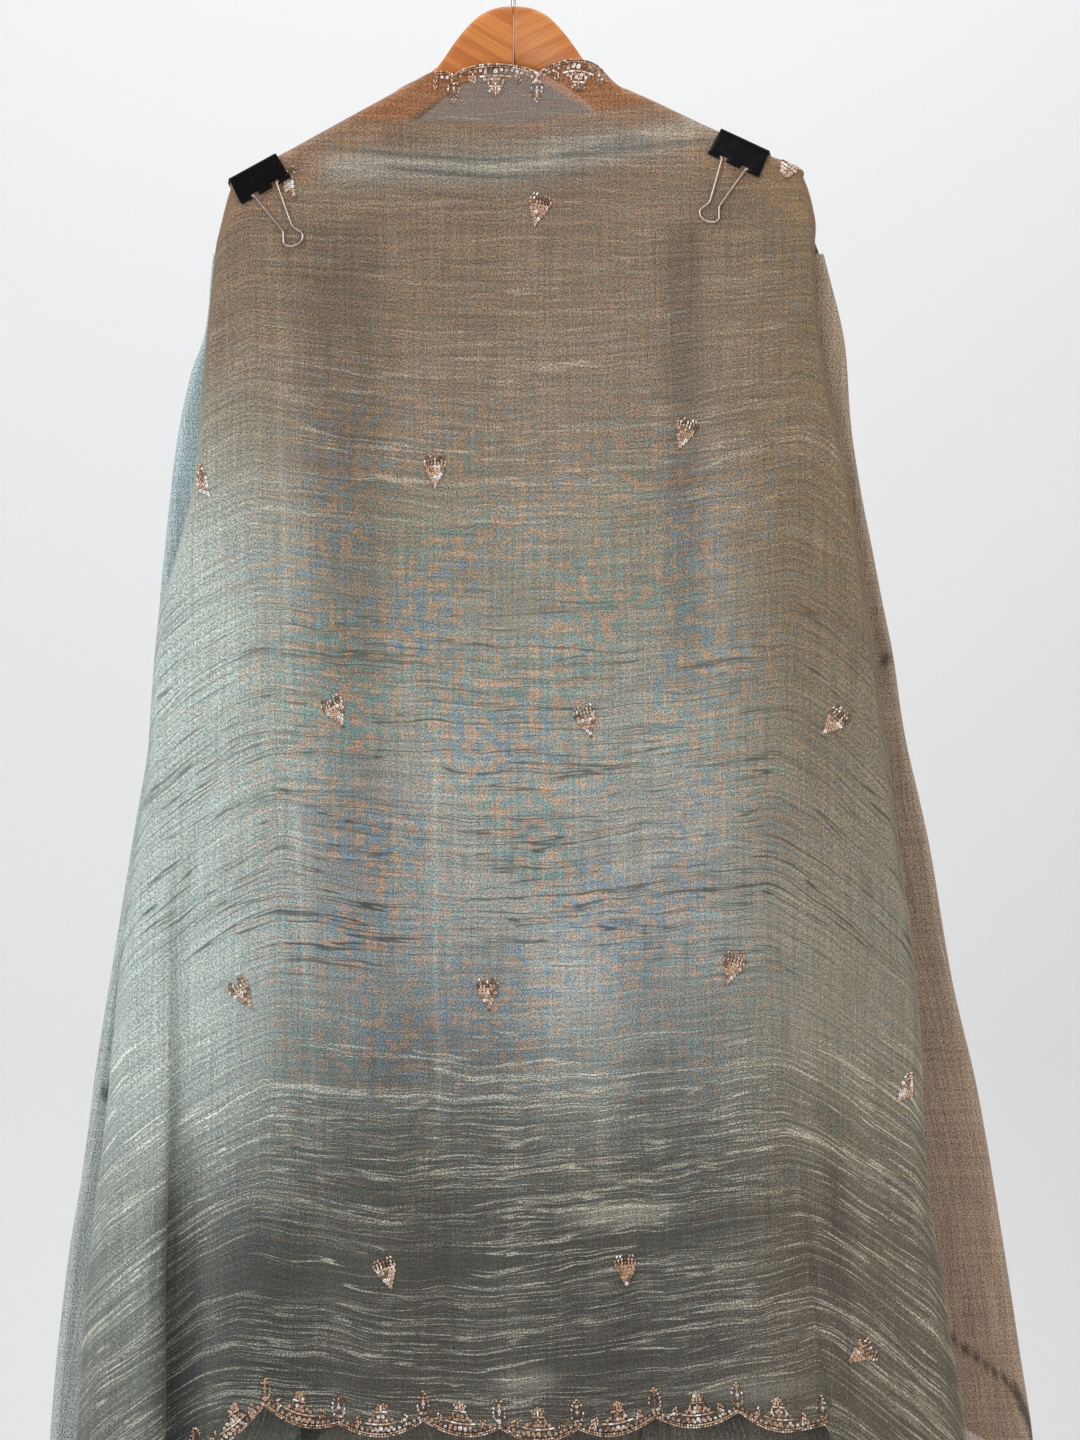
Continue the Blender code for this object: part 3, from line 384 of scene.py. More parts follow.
def front_shape(place, down):
    """Points of the front: place 0 to 1 across with a roll past each end, down -1 to 1."""
    place, down = np.broadcast_arrays(np.asarray(place, float), np.asarray(down, float))
    across = np.clip(place, 0.0, 1.0)
    roll = place - across
    start = panel_start(across)
    x, y = panel_point(across, start)
    slope = arm_slope(x)
    normal = np.hypot(1.0, slope)
    over = ease(np.abs(x), 68.0, 86.0)
    aside = np.abs(roll)
    turn = np.clip(-down, 0.0, 1.0)
    flat = start - LAY * normal * turn
    fx, fy = panel_point(across, flat)
    up = OVER_TURN * turn * (1.0 - 0.5 * aside)
    tip = OVER_TURN * aside
    lift = LAY * np.sin(up)
    px = x + np.sign(x) * (slope * lift / normal + LAY * np.cos(up) * np.sin(tip))
    py = y + LAY * (1.0 - np.cos(up) * np.cos(tip))
    pz = start - lift / normal - 1.3 * np.sin(math.pi * over) * (turn > 0.0)
    top = np.stack([fx + (px - fx) * over, fy + (py - fy) * over, flat + (pz - flat) * over], -1)
    drop = start + (hem_drop(across) - start) * np.clip(down, 0.0, 1.0)
    hx, hy = panel_point(across, drop, roll)
    hung = np.stack([hx, hy, drop], -1)
    return np.where((down < 0.0)[..., None], top, hung)


print("hem at the middle:", front_shape(0.5, 1.0).round(1))

# %% [markdown]
# ## The falls at the sides
# Past each clip the rest of the length falls in a cascade. It turns back behind the front edge,
# folds out again to make the outline, and turns in once more with the neck border on its inner
# side. Each stretch is a function of a share across and a share down, like the panel.

# %% Shapes of the falls
def fold_end(table, side, drop, outward):
    x = read(table[side], "x", drop)
    y = read(table[side], "y", drop)
    roll = read(table[side], "roll", drop)
    inset = WALL / 2.0 + roll
    return SIGN[side] * (x - inset if outward else x + inset), y, roll


def scalloped(share, start, end, arcs, bow):
    t = share * arcs - np.floor(share * arcs)
    return start + (end - start) * share + bow * (1.0 - (2.0 * t - 1.0) ** 2)


FLAT_PART = 0.93
TAIL_TURN = math.radians(85.0)


def split_turn(across):
    """A share across a stretch as the share of its flat part and of the fold at its end."""
    flat = np.clip(across / FLAT_PART, 0.0, 1.0)
    turn = np.clip((across - FLAT_PART) / (1.0 - FLAT_PART), 0.0, 1.0)
    return flat, turn


def return_shape(side):
    sign = SIGN[side]
    end = np.array(0.0 if side == "left" else 1.0)
    first = float(hem_drop(end))
    top = float(panel_start(end)) * 0.94 + 0.06 * first

    def shape(across, down):
        flat, turn = split_turn(across)
        low = scalloped(flat, first, RETURN_LOW, 5, 9.0)
        drop = top + (low - top) * down
        x0, y0 = panel_point(float(end), drop, sign)
        x1, yc, roll = fold_end(INNER_FOLD, side, drop, False)
        bulge = 2.5 * np.sin(math.pi * flat) * ease(drop, 250.0, 800.0)
        bulge = bulge * np.cos(5.0 * math.pi * flat)
        x = x0 + (x1 - x0) * flat - sign * roll * np.sin(math.pi * turn)
        y = y0 + (yc - roll - y0) * flat + bulge + roll * (1.0 - np.cos(math.pi * turn))
        return np.stack([x, y, drop], -1)

    return shape


def back_shape(side):
    sign = SIGN[side]

    def shape(across, down):
        flat, turn = split_turn(across)
        low = scalloped(flat, RETURN_LOW, BACK_LOW, 5, 9.0)
        drop = BACK_TOP + (low - BACK_TOP) * down
        x0, yc0, roll0 = fold_end(INNER_FOLD, side, drop, False)
        x1, yc, roll = fold_end(BACK_EDGE, side, drop, True)
        y0 = yc0 + roll0
        bulge = 3.0 * np.sin(math.pi * flat) * ease(drop, 250.0, 800.0)
        bulge = bulge * np.cos(4.0 * math.pi * flat + 0.6)
        x = x0 + (x1 - x0) * flat + sign * roll * np.sin(math.pi * turn)
        y = y0 + (yc - roll - y0) * flat + bulge + roll * (1.0 - np.cos(math.pi * turn))
        return np.stack([x, y, drop], -1)

    return shape


def tail_outer(side, drop):
    line = ARM_LINE[side]
    along = line["x"] + (drop - line["drop"]) / line["slope"]
    down = read(FRONT_EDGE[side], "x", drop) - WALL / 2.0
    return np.where(drop <= arm_line(side, 192.0), along, down)


def inner_shape(side):
    """The flap behind the arm and the innermost layer under it: across 0 is the neck border."""
    sign = SIGN[side]
    slope = ARM_LINE[side]["slope"]
    normal = math.hypot(1.0, slope)
    first = NECK_BORDER[side]["outer"][0]

    def shape(across, down):
        flat, turn = split_turn(across)
        out_drop = first + (BACK_LOW - 3.0 - first) * down
        nx = read(NECK_BORDER[side], "x", out_drop, "outer")
        nd = read(NECK_BORDER[side], "drop", out_drop, "outer")
        out_x = tail_outer(side, out_drop)
        low = ease(out_drop, 145.0, 200.0)
        ny = arm_plane(nx) + LAY
        ny = ny + (read(NECK_BORDER[side], "y", out_drop, "outer") - ny) * low
        ex = out_x - LAY * slope / normal
        ed = out_drop + 0.6 + LAY / normal
        tip = ease(out_drop, arm_line(side, 186.0), arm_line(side, 204.0))
        ex = ex + (out_x - LAY - ex) * tip
        ed = ed + (out_drop - ed) * tip
        ey = arm_plane(ex) + LAY
        fx, fy, roll = fold_end(BACK_EDGE, side, np.maximum(out_drop, 168.0), True)
        away = ease(out_drop, 150.0, BACK_TOP - 1.0)
        ex = ex + (np.abs(fx) - ex) * away
        ey = ey + (fy + roll - ey) * away
        lip = LAY * (1.0 - ease(out_drop, 146.0, 176.0))
        x = nx + (ex - nx) * flat
        drop = nd + (ed - nd) * flat
        y = ny + (ey - ny) * flat
        y = np.maximum(y, (arm_plane(x) + LAY) * (1.0 - low) + y * low)
        y = y + 4.0 * low * np.sin(math.pi * flat) * np.cos(4.0 * math.pi * flat)
        angle = TAIL_TURN * turn
        dx = slope / normal * (1.0 - tip) + tip
        dd = -1.0 / normal * (1.0 - tip)
        x = x + dx * lip * np.sin(angle)
        y = y - lip * (1.0 - np.cos(angle))
        drop = drop + dd * lip * np.sin(angle)
        return np.stack([sign * x, y, drop], -1)

    return shape


print("outline at drop 800:", back_shape("right")(np.array(0.96), np.array(0.69)).round(1))

# %% [markdown]
# ## Camera, floor and light
# The camera stands in front at the height of the cloth's middle and looks straight back. A pale
# floor that curves up into a wall gives plain surroundings. Its paint lets through a view from
# behind the wall, so that the stole can be looked at from there too. One large soft light stands
# at the left like a window, with a weaker warm one at the right, because sheer cloth looks flat
# under even light. The helpers for pieces and nodes come first, as every later cell uses them.

# %% Helper: pieces
def link_piece(name, data, body=HOLDER):
    """An object in the scene that rides on a body."""
    piece = bpy.data.objects.new(name, data)
    bpy.context.scene.collection.objects.link(piece)
    if body:
        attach(piece, body)
    return piece


def finish_piece(name, bm, material, body=HOLDER):
    """Turns a bmesh into a smooth piece."""
    mesh = bpy.data.meshes.new(name)
    bm.to_mesh(mesh)
    bm.free()
    for face in mesh.polygons:
        face.use_smooth = True
    mesh.materials.append(material)
    return link_piece(name, mesh, body)


def grid_shares(columns, rows):
    """A flat grid, with the shares across and along it of its points."""
    bm = bmesh.new()
    bmesh.ops.create_grid(bm, x_segments=columns, y_segments=rows, size=1.0)
    shares = np.array([v.co[:2] for v in bm.verts]) * 0.5 + 0.5
    return bm, shares[:, 0], shares[:, 1]


def place_points(bm, points):
    """Moves the points of a bmesh to x, y and drop in millimetres."""
    for vert, (x, y, drop) in zip(bm.verts, points):
        vert.co = Vector((x, y, WOOD_TOP - drop)) * MM


# %% Helper: nodes
class Nodes:
    """Short ways to make the nodes of one tree. A number or a colour is set on its socket, and
    anything else is linked to it."""

    def __init__(self, tree):
        self.tree = tree

    def add(self, kind):
        return self.tree.nodes.new("ShaderNode" + kind)

    def put(self, value, socket):
        if isinstance(value, (int, float, tuple)):
            socket.default_value = value
        else:
            self.tree.links.new(value, socket)

    def maths(self, operation, a, b=None, clamp=False):
        node = self.add("Math")
        node.operation = operation
        node.use_clamp = clamp
        self.put(a, node.inputs[0])
        if b is not None:
            self.put(b, node.inputs[1])
        return node.outputs[0]

    def times(self, a, b, clamp=False):
        return self.maths("MULTIPLY", a, b, clamp)

    def plus(self, a, b):
        return self.maths("ADD", a, b)

    def noise(self, vector, scale, detail):
        """Noise on a vector that is stretched by a scale along each axis."""
        stretch = self.add("Mapping")
        self.put(vector, stretch.inputs["Vector"])
        self.put(scale + (1.0,) * (3 - len(scale)), stretch.inputs["Scale"])
        node = self.add("TexNoise")
        self.put(stretch.outputs[0], node.inputs["Vector"])
        self.put(1.0, node.inputs["Scale"])
        self.put(detail, node.inputs["Detail"])
        return node.outputs["Fac"]

    def between(self, value, low, high):
        """0 under low, 1 over high."""
        node = self.add("MapRange")
        node.interpolation_type = "SMOOTHSTEP"
        self.put(value, node.inputs["Value"])
        self.put(low, node.inputs["From Min"])
        self.put(high, node.inputs["From Max"])
        return node.outputs["Result"]

    def contour(self, value, wide, narrow):
        """1 where a noise is near its middle, which draws thin lines like a map's contours."""
        away = self.maths("ABSOLUTE", self.maths("SUBTRACT", value, 0.5))
        return self.between(away, wide, narrow)

    def mix(self, share, a, b, mode="MIX"):
        node = self.add("Mix")
        node.data_type = "RGBA"
        node.blend_type = mode
        for label, value in (("Factor", share), ("A", a), ("B", b)):
            self.put(value, [s for s in node.inputs if s.name == label and s.enabled][0])
        return [s for s in node.outputs if s.enabled][0]

    def attribute(self, name):
        node = self.add("Attribute")
        node.attribute_name = name
        return node.outputs

    def group(self, group, vector):
        node = self.add("Group")
        node.node_tree = group
        self.put(vector, node.inputs["Vector"])
        return node.outputs

    def bump(self, height, strength, distance):
        node = self.add("Bump")
        self.put(height, node.inputs["Height"])
        self.put(strength, node.inputs["Strength"])
        self.put(distance, node.inputs["Distance"])
        return node.outputs[0]


def new_group(name, outputs):
    """A node group with a vector in and values out: its nodes, the vector and the sockets out."""
    tree = bpy.data.node_groups.new(name, "ShaderNodeTree")
    tree.interface.new_socket(name="Vector", in_out="INPUT", socket_type="NodeSocketVector")
    for label in outputs:
        tree.interface.new_socket(name=label, in_out="OUTPUT", socket_type="NodeSocketFloat")
    start = tree.nodes.new("NodeGroupInput")
    end = tree.nodes.new("NodeGroupOutput")
    return Nodes(tree), start.outputs["Vector"], end.inputs


def new_finish(name, settings):
    """A material with its shader's uniform values set: the material, its nodes and the shader."""
    material = bpy.data.materials.new(name)
    material.use_nodes = True
    shader = material.node_tree.nodes["Principled BSDF"]
    for label, value in settings.items():
        shader.inputs[label].default_value = value
    return material, Nodes(material.node_tree), shader


def to_linear(colour):
    """Screen values from 0 to 255 as the linear values that shaders take."""
    c = np.clip(colour, 0.0, 255.0) / 255.0
    return np.where(c <= 0.04045, c / 12.92, ((c + 0.055) / 1.055) ** 2.4)


def srgb(*colour):
    return tuple(float(c) for c in to_linear(colour)) + (1.0,)


# %% Camera
VIEW_CENTRE = Vector((19.7, 0.0, -591.2)) * MM
VIEW_HEIGHT = 1.0450
VIEW_DISTANCE = 2.4
FACE_DEPTH = -0.036
camera_data = bpy.data.cameras.new("front_camera")
camera_data.sensor_fit = "VERTICAL"
camera_data.sensor_height = 24.0
camera_data.lens = camera_data.sensor_height * VIEW_DISTANCE / VIEW_HEIGHT
camera = bpy.data.objects.new("front_camera", camera_data)
camera.location = (VIEW_CENTRE.x, FACE_DEPTH - VIEW_DISTANCE, VIEW_CENTRE.z)
camera.rotation_euler = (math.radians(90.0), 0.0, 0.0)
bpy.context.scene.collection.objects.link(camera)
bpy.context.scene.camera = camera
bpy.context.scene.view_settings.view_transform = "Standard"
light_paths = bpy.context.scene.cycles
light_paths.transparent_max_bounces = 12
light_paths.max_bounces = 4
light_paths.diffuse_bounces = 2
light_paths.glossy_bounces = 2
light_paths.transmission_bounces = 2
light_paths.caustics_reflective = False
light_paths.caustics_refractive = False
print("lens:", round(camera_data.lens, 1), "mm")

# %% Stage
FLOOR = -1.62
SWEEP = {"front": -4.0, "bend_at": 1.2, "radius": 0.6, "top": 2.4, "half_width": 4.5, "steps": 12}
stage_paint, nodes, shader = new_finish("stage_paint", {"Base Color": (0.86, 0.86, 0.86, 1.0),
                                                        "Roughness": 0.9})
see_through = nodes.add("MixShader")
nodes.put(nodes.add("NewGeometry").outputs["Backfacing"], see_through.inputs[0])
nodes.put(shader.outputs[0], see_through.inputs[1])
nodes.put(nodes.add("BsdfTransparent").outputs[0], see_through.inputs[2])
nodes.put(see_through.outputs[0], nodes.tree.nodes["Material Output"].inputs["Surface"])
profile = [(SWEEP["front"], FLOOR), (SWEEP["bend_at"], FLOOR)]
for k in range(1, SWEEP["steps"] + 1):
    angle = math.radians(90.0) * k / SWEEP["steps"]
    profile.append((SWEEP["bend_at"] + SWEEP["radius"] * math.sin(angle),
                    FLOOR + SWEEP["radius"] * (1.0 - math.cos(angle))))
profile.append((SWEEP["bend_at"] + SWEEP["radius"], SWEEP["top"]))
bm = bmesh.new()
line = [bm.verts.new((-SWEEP["half_width"], y, z)) for y, z in profile]
edges = [bm.edges.new(pair) for pair in zip(line, line[1:])]
swept = bmesh.ops.extrude_edge_only(bm, edges=edges)["geom"]
far_side = [part for part in swept if isinstance(part, bmesh.types.BMVert)]
bmesh.ops.translate(bm, vec=(2.0 * SWEEP["half_width"], 0.0, 0.0), verts=far_side)
bmesh.ops.recalc_face_normals(bm, faces=bm.faces)
bmesh.ops.reverse_faces(bm, faces=bm.faces)
stage = finish_piece("stage", bm, stage_paint, body=None)
print("stage faces:", len(stage.data.polygons))

# %% Lights
STOLE, WALL_FOOT = Vector((0.0, 0.0, -0.6)), Vector((0.0, 1.4, -0.4))
WHITE, COOL_WHITE, WARM_WHITE = (1.0, 1.0, 1.0), (0.95, 0.98, 1.0), (1.0, 0.94, 0.86)
LIGHTS = {
    "window_light": {"at": (-1.9, -2.6, 0.2), "to": STOLE, "size": 2.2, "power": 45.0,
                     "colour": COOL_WHITE},
    "warm_fill": {"at": (2.3, -2.4, 0.0), "to": STOLE, "size": 2.0, "power": 19.0,
                  "colour": WARM_WHITE},
    "top_light": {"at": (0.0, -0.6, 1.5), "to": STOLE, "size": 1.6, "power": 11.0, "colour": WHITE},
    "wall_light": {"at": (0.0, 0.4, 1.6), "to": WALL_FOOT, "size": 2.4, "power": 24.0,
                   "colour": WHITE},
}
for name, row in LIGHTS.items():
    data = bpy.data.lights.new(name, "AREA")
    data.energy = row["power"]
    data.size = row["size"]
    data.color = row["colour"]
    lamp = link_piece(name, data, body=None)
    lamp.location = row["at"]
    lamp.rotation_euler = (row["to"] - lamp.location).to_track_quat("-Z", "Y").to_euler()
world = bpy.data.worlds.new("soft_room")
bpy.context.scene.world = world
world.use_nodes = True
sky = world.node_tree.nodes["Background"].inputs
sky["Color"].default_value = (0.96, 0.97, 1.0, 1.0)
sky["Strength"].default_value = 0.42
print("lights:", len(LIGHTS))

# %% [markdown]
# ## Shader groups
# Three effects are used by more than one finish, so each is a node group built once: the crinkle
# lines that run along the cloth, the fine grain of the weave, and the grain of wood. A group gives
# only colours and values. The shader itself stays in each material.


# %% Group: crinkle lines
def crinkle_group():
    """Lines that run along U. Lines is 1 on a raised line; Fine and Ripple are small relief."""
    n, uv, end = new_group("crinkle_lines", ("Lines", "Fine", "Ripple"))
    wander = n.maths("SUBTRACT", n.noise(uv, (7.0, 9.0), 1.0), 0.5)
    kink = n.maths("SUBTRACT", n.noise(uv, (26.0, 20.0), 1.0), 0.5)
    aside = n.add("CombineXYZ")
    n.put(n.plus(n.times(wander, 0.016), n.times(kink, 0.008)), aside.inputs["Y"])
    shift = n.add("VectorMath")
    n.put(uv, shift.inputs[0])
    n.put(aside.outputs[0], shift.inputs[1])
    bent = shift.outputs[0]
    wide = n.noise(bent, (3.4, 88.0), 2.0)
    thin = n.noise(bent, (6.0, 190.0), 2.0)
    hair = n.noise(bent, (16.0, 420.0), 1.0)
    groups = n.between(n.noise(bent, (3.6, 26.0), 2.0), 0.36, 0.56)
    breaks = n.between(n.noise(bent, (55.0, 330.0), 1.0), 0.34, 0.52)
    thin_lines = n.times(n.contour(thin, 0.020, 0.005), groups)
    hair_lines = n.times(n.contour(hair, 0.040, 0.008), groups)
    lines = n.maths("MAXIMUM", n.contour(wide, 0.014, 0.004), n.times(thin_lines, 0.8))
    lines = n.maths("MAXIMUM", lines, n.times(hair_lines, 0.35))
    n.put(n.times(lines, n.plus(n.times(breaks, 0.7), 0.3)), end["Lines"])
    n.put(n.between(hair, 0.35, 0.65), end["Fine"])
    n.put(n.plus(n.times(wide, 0.5), n.times(thin, 0.5)), end["Ripple"])
    return n.tree


# %% Group: weave grain
def grain_group():
    """Fine speckle of the tissue, and faint threads both ways, around 0.5."""
    n, uv, end = new_group("weave_grain", ("Grain", "Threads"))
    n.put(n.between(n.noise(uv, (880.0, 880.0), 1.0), 0.28, 0.72), end["Grain"])
    warp = n.noise(uv, (420.0, 14.0), 1.0)
    weft = n.noise(uv, (12.0, 520.0), 1.0)
    n.put(n.between(n.plus(n.times(warp, 0.5), n.times(weft, 0.5)), 0.34, 0.66), end["Threads"])
    return n.tree


# %% Group: wood grain
def wood_group():
    """Long streaks along X, with slow bands across, both from 0 to 1."""
    n, at, end = new_group("wood_grain", ("Streak", "Band"))
    n.put(n.between(n.noise(at, (18.0, 260.0, 900.0), 3.0), 0.36, 0.66), end["Streak"])
    n.put(n.between(n.noise(at, (5.0, 40.0, 130.0), 2.0), 0.35, 0.65), end["Band"])
    return n.tree


CRINKLE, WEAVE, WOOD = crinkle_group(), grain_group(), wood_group()
print("groups:", [g.name for g in bpy.data.node_groups])

# %% [markdown]
# ## The cloth's finish
# The tissue is woven from sage threads and a fine gold one. Its tone drifts from taupe at the top
# to dark grey green at the hem, pale mint at the left and olive at the right, partly as the cloth's
# colour and partly as painted light and shade from the window and from the wood and layers behind.
# Each cloth point carries its own tone, opacity and line colour as attributes, and the shader adds
# crinkle, weave and the faint peach and teal patches of the moire.


# %% Cloth material
CLOTH_GLOSS = {"Roughness": 0.52, "Metallic": 0.0, "Specular IOR Level": 0.35,
               "Sheen Weight": 0.25, "Sheen Roughness": 0.4, "Sheen Tint": srgb(236, 224, 190)}
# Line colours multiply the tone: painted shade in the dark lines, painted light in the bright ones.
DARK_LINE, BRIGHT_LINE = (0.20, 0.21, 0.20, 1.0), (2.3, 2.3, 2.2, 1.0)
GOLD_THREAD = srgb(222, 217, 198)
PEACH, TEAL, BLUE = srgb(206, 150, 108), srgb(84, 146, 146), srgb(84, 130, 168)
PATCH_STEP = (0.0018, 0.0013, 0.001)


def cloth_material(name, sheer):
    """The tissue's finish. A sheer stretch lets light through; a close one is quicker to render."""
    material, n, shader = new_finish(name, CLOTH_GLOSS)
    metres = n.add("UVMap")
    metres.uv_map = "cloth_metres"
    uv = metres.outputs[0]
    crinkle, weave = n.group(CRINKLE, uv), n.group(WEAVE, uv)
    tone = n.attribute("tone")["Color"]
    packed = n.attribute("traits")
    traits = n.add("SeparateColor")
    n.put(packed["Color"], traits.inputs[0])
    lit_line_share, moire, cover = traits.outputs[0], traits.outputs[1], traits.outputs[2]
    # The crinkle lines are painted light and shade: dark, or pale with a tint of the gold thread,
    # and grainy like the thread.
    dark = n.mix(1.0, tone, DARK_LINE, "MULTIPLY")
    pale = n.mix(0.34, n.mix(1.0, tone, BRIGHT_LINE, "MULTIPLY"), GOLD_THREAD)
    grainy = n.plus(n.times(weave["Grain"], 0.8), 0.45)
    strength = n.times(n.times(crinkle["Lines"], packed["Alpha"]), grainy, True)
    # The moire is a noise read in small steps, so its patches have square corners.
    snap = n.add("VectorMath")
    snap.operation = "SNAP"
    n.put(uv, snap.inputs[0])
    n.put(PATCH_STEP, snap.inputs[1])
    patch = n.noise(snap.outputs[0], (110.0, 128.0), 3.0)
    slow = n.noise(uv, (9.0, 9.0), 1.0)
    clumps = n.between(n.noise(uv, (17.0, 13.0), 1.0), 0.34, 0.56)
    spread = n.times(moire, n.plus(n.times(clumps, 0.7), 0.3))
    warm = n.times(n.between(patch, 0.53, 0.57), spread)
    cool = n.times(n.between(patch, 0.48, 0.44), spread)
    colour = n.mix(n.times(warm, 0.44), tone, PEACH)
    colour = n.mix(n.times(cool, 0.46), colour, n.mix(n.between(slow, 0.4, 0.6), TEAL, BLUE))
    colour = n.mix(strength, colour, n.mix(lit_line_share, dark, pale))
    # The weave's speckle and threads vary the colour, and the fine crinkle relief is painted in as
    # light and shade.
    fine = n.plus(n.times(crinkle["Fine"], 0.20), 0.90)
    speckle = n.plus(n.times(weave["Grain"], 1.10), 0.45)
    thread = n.plus(n.times(weave["Threads"], 0.30), 0.85)
    shade = n.times(n.times(fine, speckle), thread)
    n.put(n.mix(1.0, colour, shade, "MULTIPLY"), shader.inputs["Base Color"])
    if sheer:
        n.put(cover, shader.inputs["Alpha"])
    relief = n.plus(crinkle["Ripple"], n.times(weave["Grain"], 0.10))
    n.put(n.bump(relief, 0.5, 0.0014), shader.inputs["Normal"])
    return material


TISSUE = cloth_material("crinkled_tissue", False)
SHEER_TISSUE = cloth_material("sheer_tissue", True)
CLOSE = 0.955
print("cloth nodes:", len(TISSUE.node_tree.nodes))


# %% Tones of the cloth
# Tones down the front's middle: partly the cloth's colour and partly painted light and shade from
# the wood and the layers seen through the sheer cloth.
TONES = {
    "drop": (40, 110, 180, 300, 420, 560, 660, 766, 876, 963, 1060),
    "red": (120, 124, 126, 128, 138, 156, 152, 108, 72, 70, 68),
    "green": (88, 101, 106, 113, 134, 156, 153, 110, 71, 68, 65),
    "blue": (65, 81, 85, 95, 119, 146, 147, 105, 64, 61, 58),
}
# Bands that scale the tone. The dark ones are painted shade: where darker parts lie behind the
# cloth, beside the rolled fold at the left and in a soft fold at the right. The bright ones are
# painted light: highlights on two creases and a pale glow low in the middle.
SHADES = (
    {
        "drop": (160, 600, 1060),
        "x": (-128, -118, -92),
        "half": 33,
        "gain": -0.15,
        "from": (150, 175),
        "to": (640, 760),
    },
    {
        "drop": (160, 600, 1060),
        "x": (124, 126, 110),
        "half": 14,
        "gain": -0.18,
        "from": (158, 170),
        "to": (430, 560),
    },
    {
        "drop": (160, 511, 949, 1060),
        "x": (-173, -163, -134, -130),
        "half": 2,
        "gain": 0.09,
        "from": (180, 240),
        "to": (900, 980),
    },
    {
        "drop": (400, 700, 1060),
        "x": (-57, -56, -40),
        "half": 2.2,
        "gain": 0.14,
        "from": (490, 540),
        "to": (820, 880),
    },
    {
        "drop": (700, 900, 1060),
        "x": (-246, -241, -240),
        "half": 17,
        "gain": -0.5,
        "from": (800, 930),
        "to": (1200, 1300),
    },
    {
        "drop": (700, 900, 1060),
        "x": (-205, -190, -180),
        "half": 40,
        "gain": -0.34,
        "from": (780, 940),
        "to": (1200, 1300),
    },
    {
        "drop": (600, 700, 800, 900),
        "x": (36, 44, 52, 58),
        "half": 38,
        "gain": 0.26,
        "from": (640, 720),
        "to": (800, 910),
    },
    {
        "drop": (700, 900, 1060),
        "x": (226, 232, 236),
        "half": 11,
        "gain": -0.14,
        "from": (760, 860),
        "to": (1200, 1300),
    },
)
# Painted light and shade on the cowl between the clips: pale highlight streaks along its folds and
# thin dark lines of shade in them.
COWL_LIGHT_AND_SHADE = (
    {
        "x": (-136, -7, 91, 140),
        "drop": (121, 121, 102, 94),
        "half": 13,
        "share": 0.62,
        "tone": (158, 164, 158),
    },
    {"x": (-60, 0, 60), "drop": (101, 103, 98), "half": 5, "share": 0.3, "tone": (150, 152, 142)},
    {"x": (-91, -20, 52), "drop": (122, 127, 125), "half": 2, "share": 0.85, "tone": (84, 82, 72)},
    {
        "x": (42, 90, 140),
        "drop": (113, 107, 102.5),
        "half": 1.9,
        "share": 0.85,
        "tone": (84, 82, 72),
    },
    {
        "x": (-133, -80, -20),
        "drop": (108, 112, 115),
        "half": 1.8,
        "share": 0.75,
        "tone": (88, 86, 76),
    },
    {"x": (-30, 30, 90), "drop": (116, 113, 100), "half": 1.6, "share": 0.75, "tone": (90, 88, 78)},
    {"x": (-120, -40, 30), "drop": (136, 139, 136), "half": 4, "share": 0.25, "tone": (96, 90, 76)},
)
LAYER_LINE = ((-108, -9.5, 102), (85.7, 88, 74))
PALE_TONE = (150, 147, 134)
PALE_PATCHES = ((78, 884, 40, 9, 0.75), (12, 1004, 24, 8, 0.6), (180, 1008, 46, 9, 0.45))
MINT_WINDOW_LIT = ((190, 203, 197), (106, 110, 104))
OLIVE_IN_SHADE = ((116, 97, 71), (132, 125, 108), (94, 86, 72))
WOOD_UNDER = (0.34, 0.16, -0.04)


def mixed(share, a, b):
    share = np.asarray(share)[..., None]
    return np.asarray(a, float) * (1.0 - share) + np.asarray(b, float) * share


def spot(x, drop, wide, high):
    """1 in an oval at the origin, with a soft edge."""
    return np.exp(-((x / wide) ** 2 + (drop / high) ** 2) ** 2)


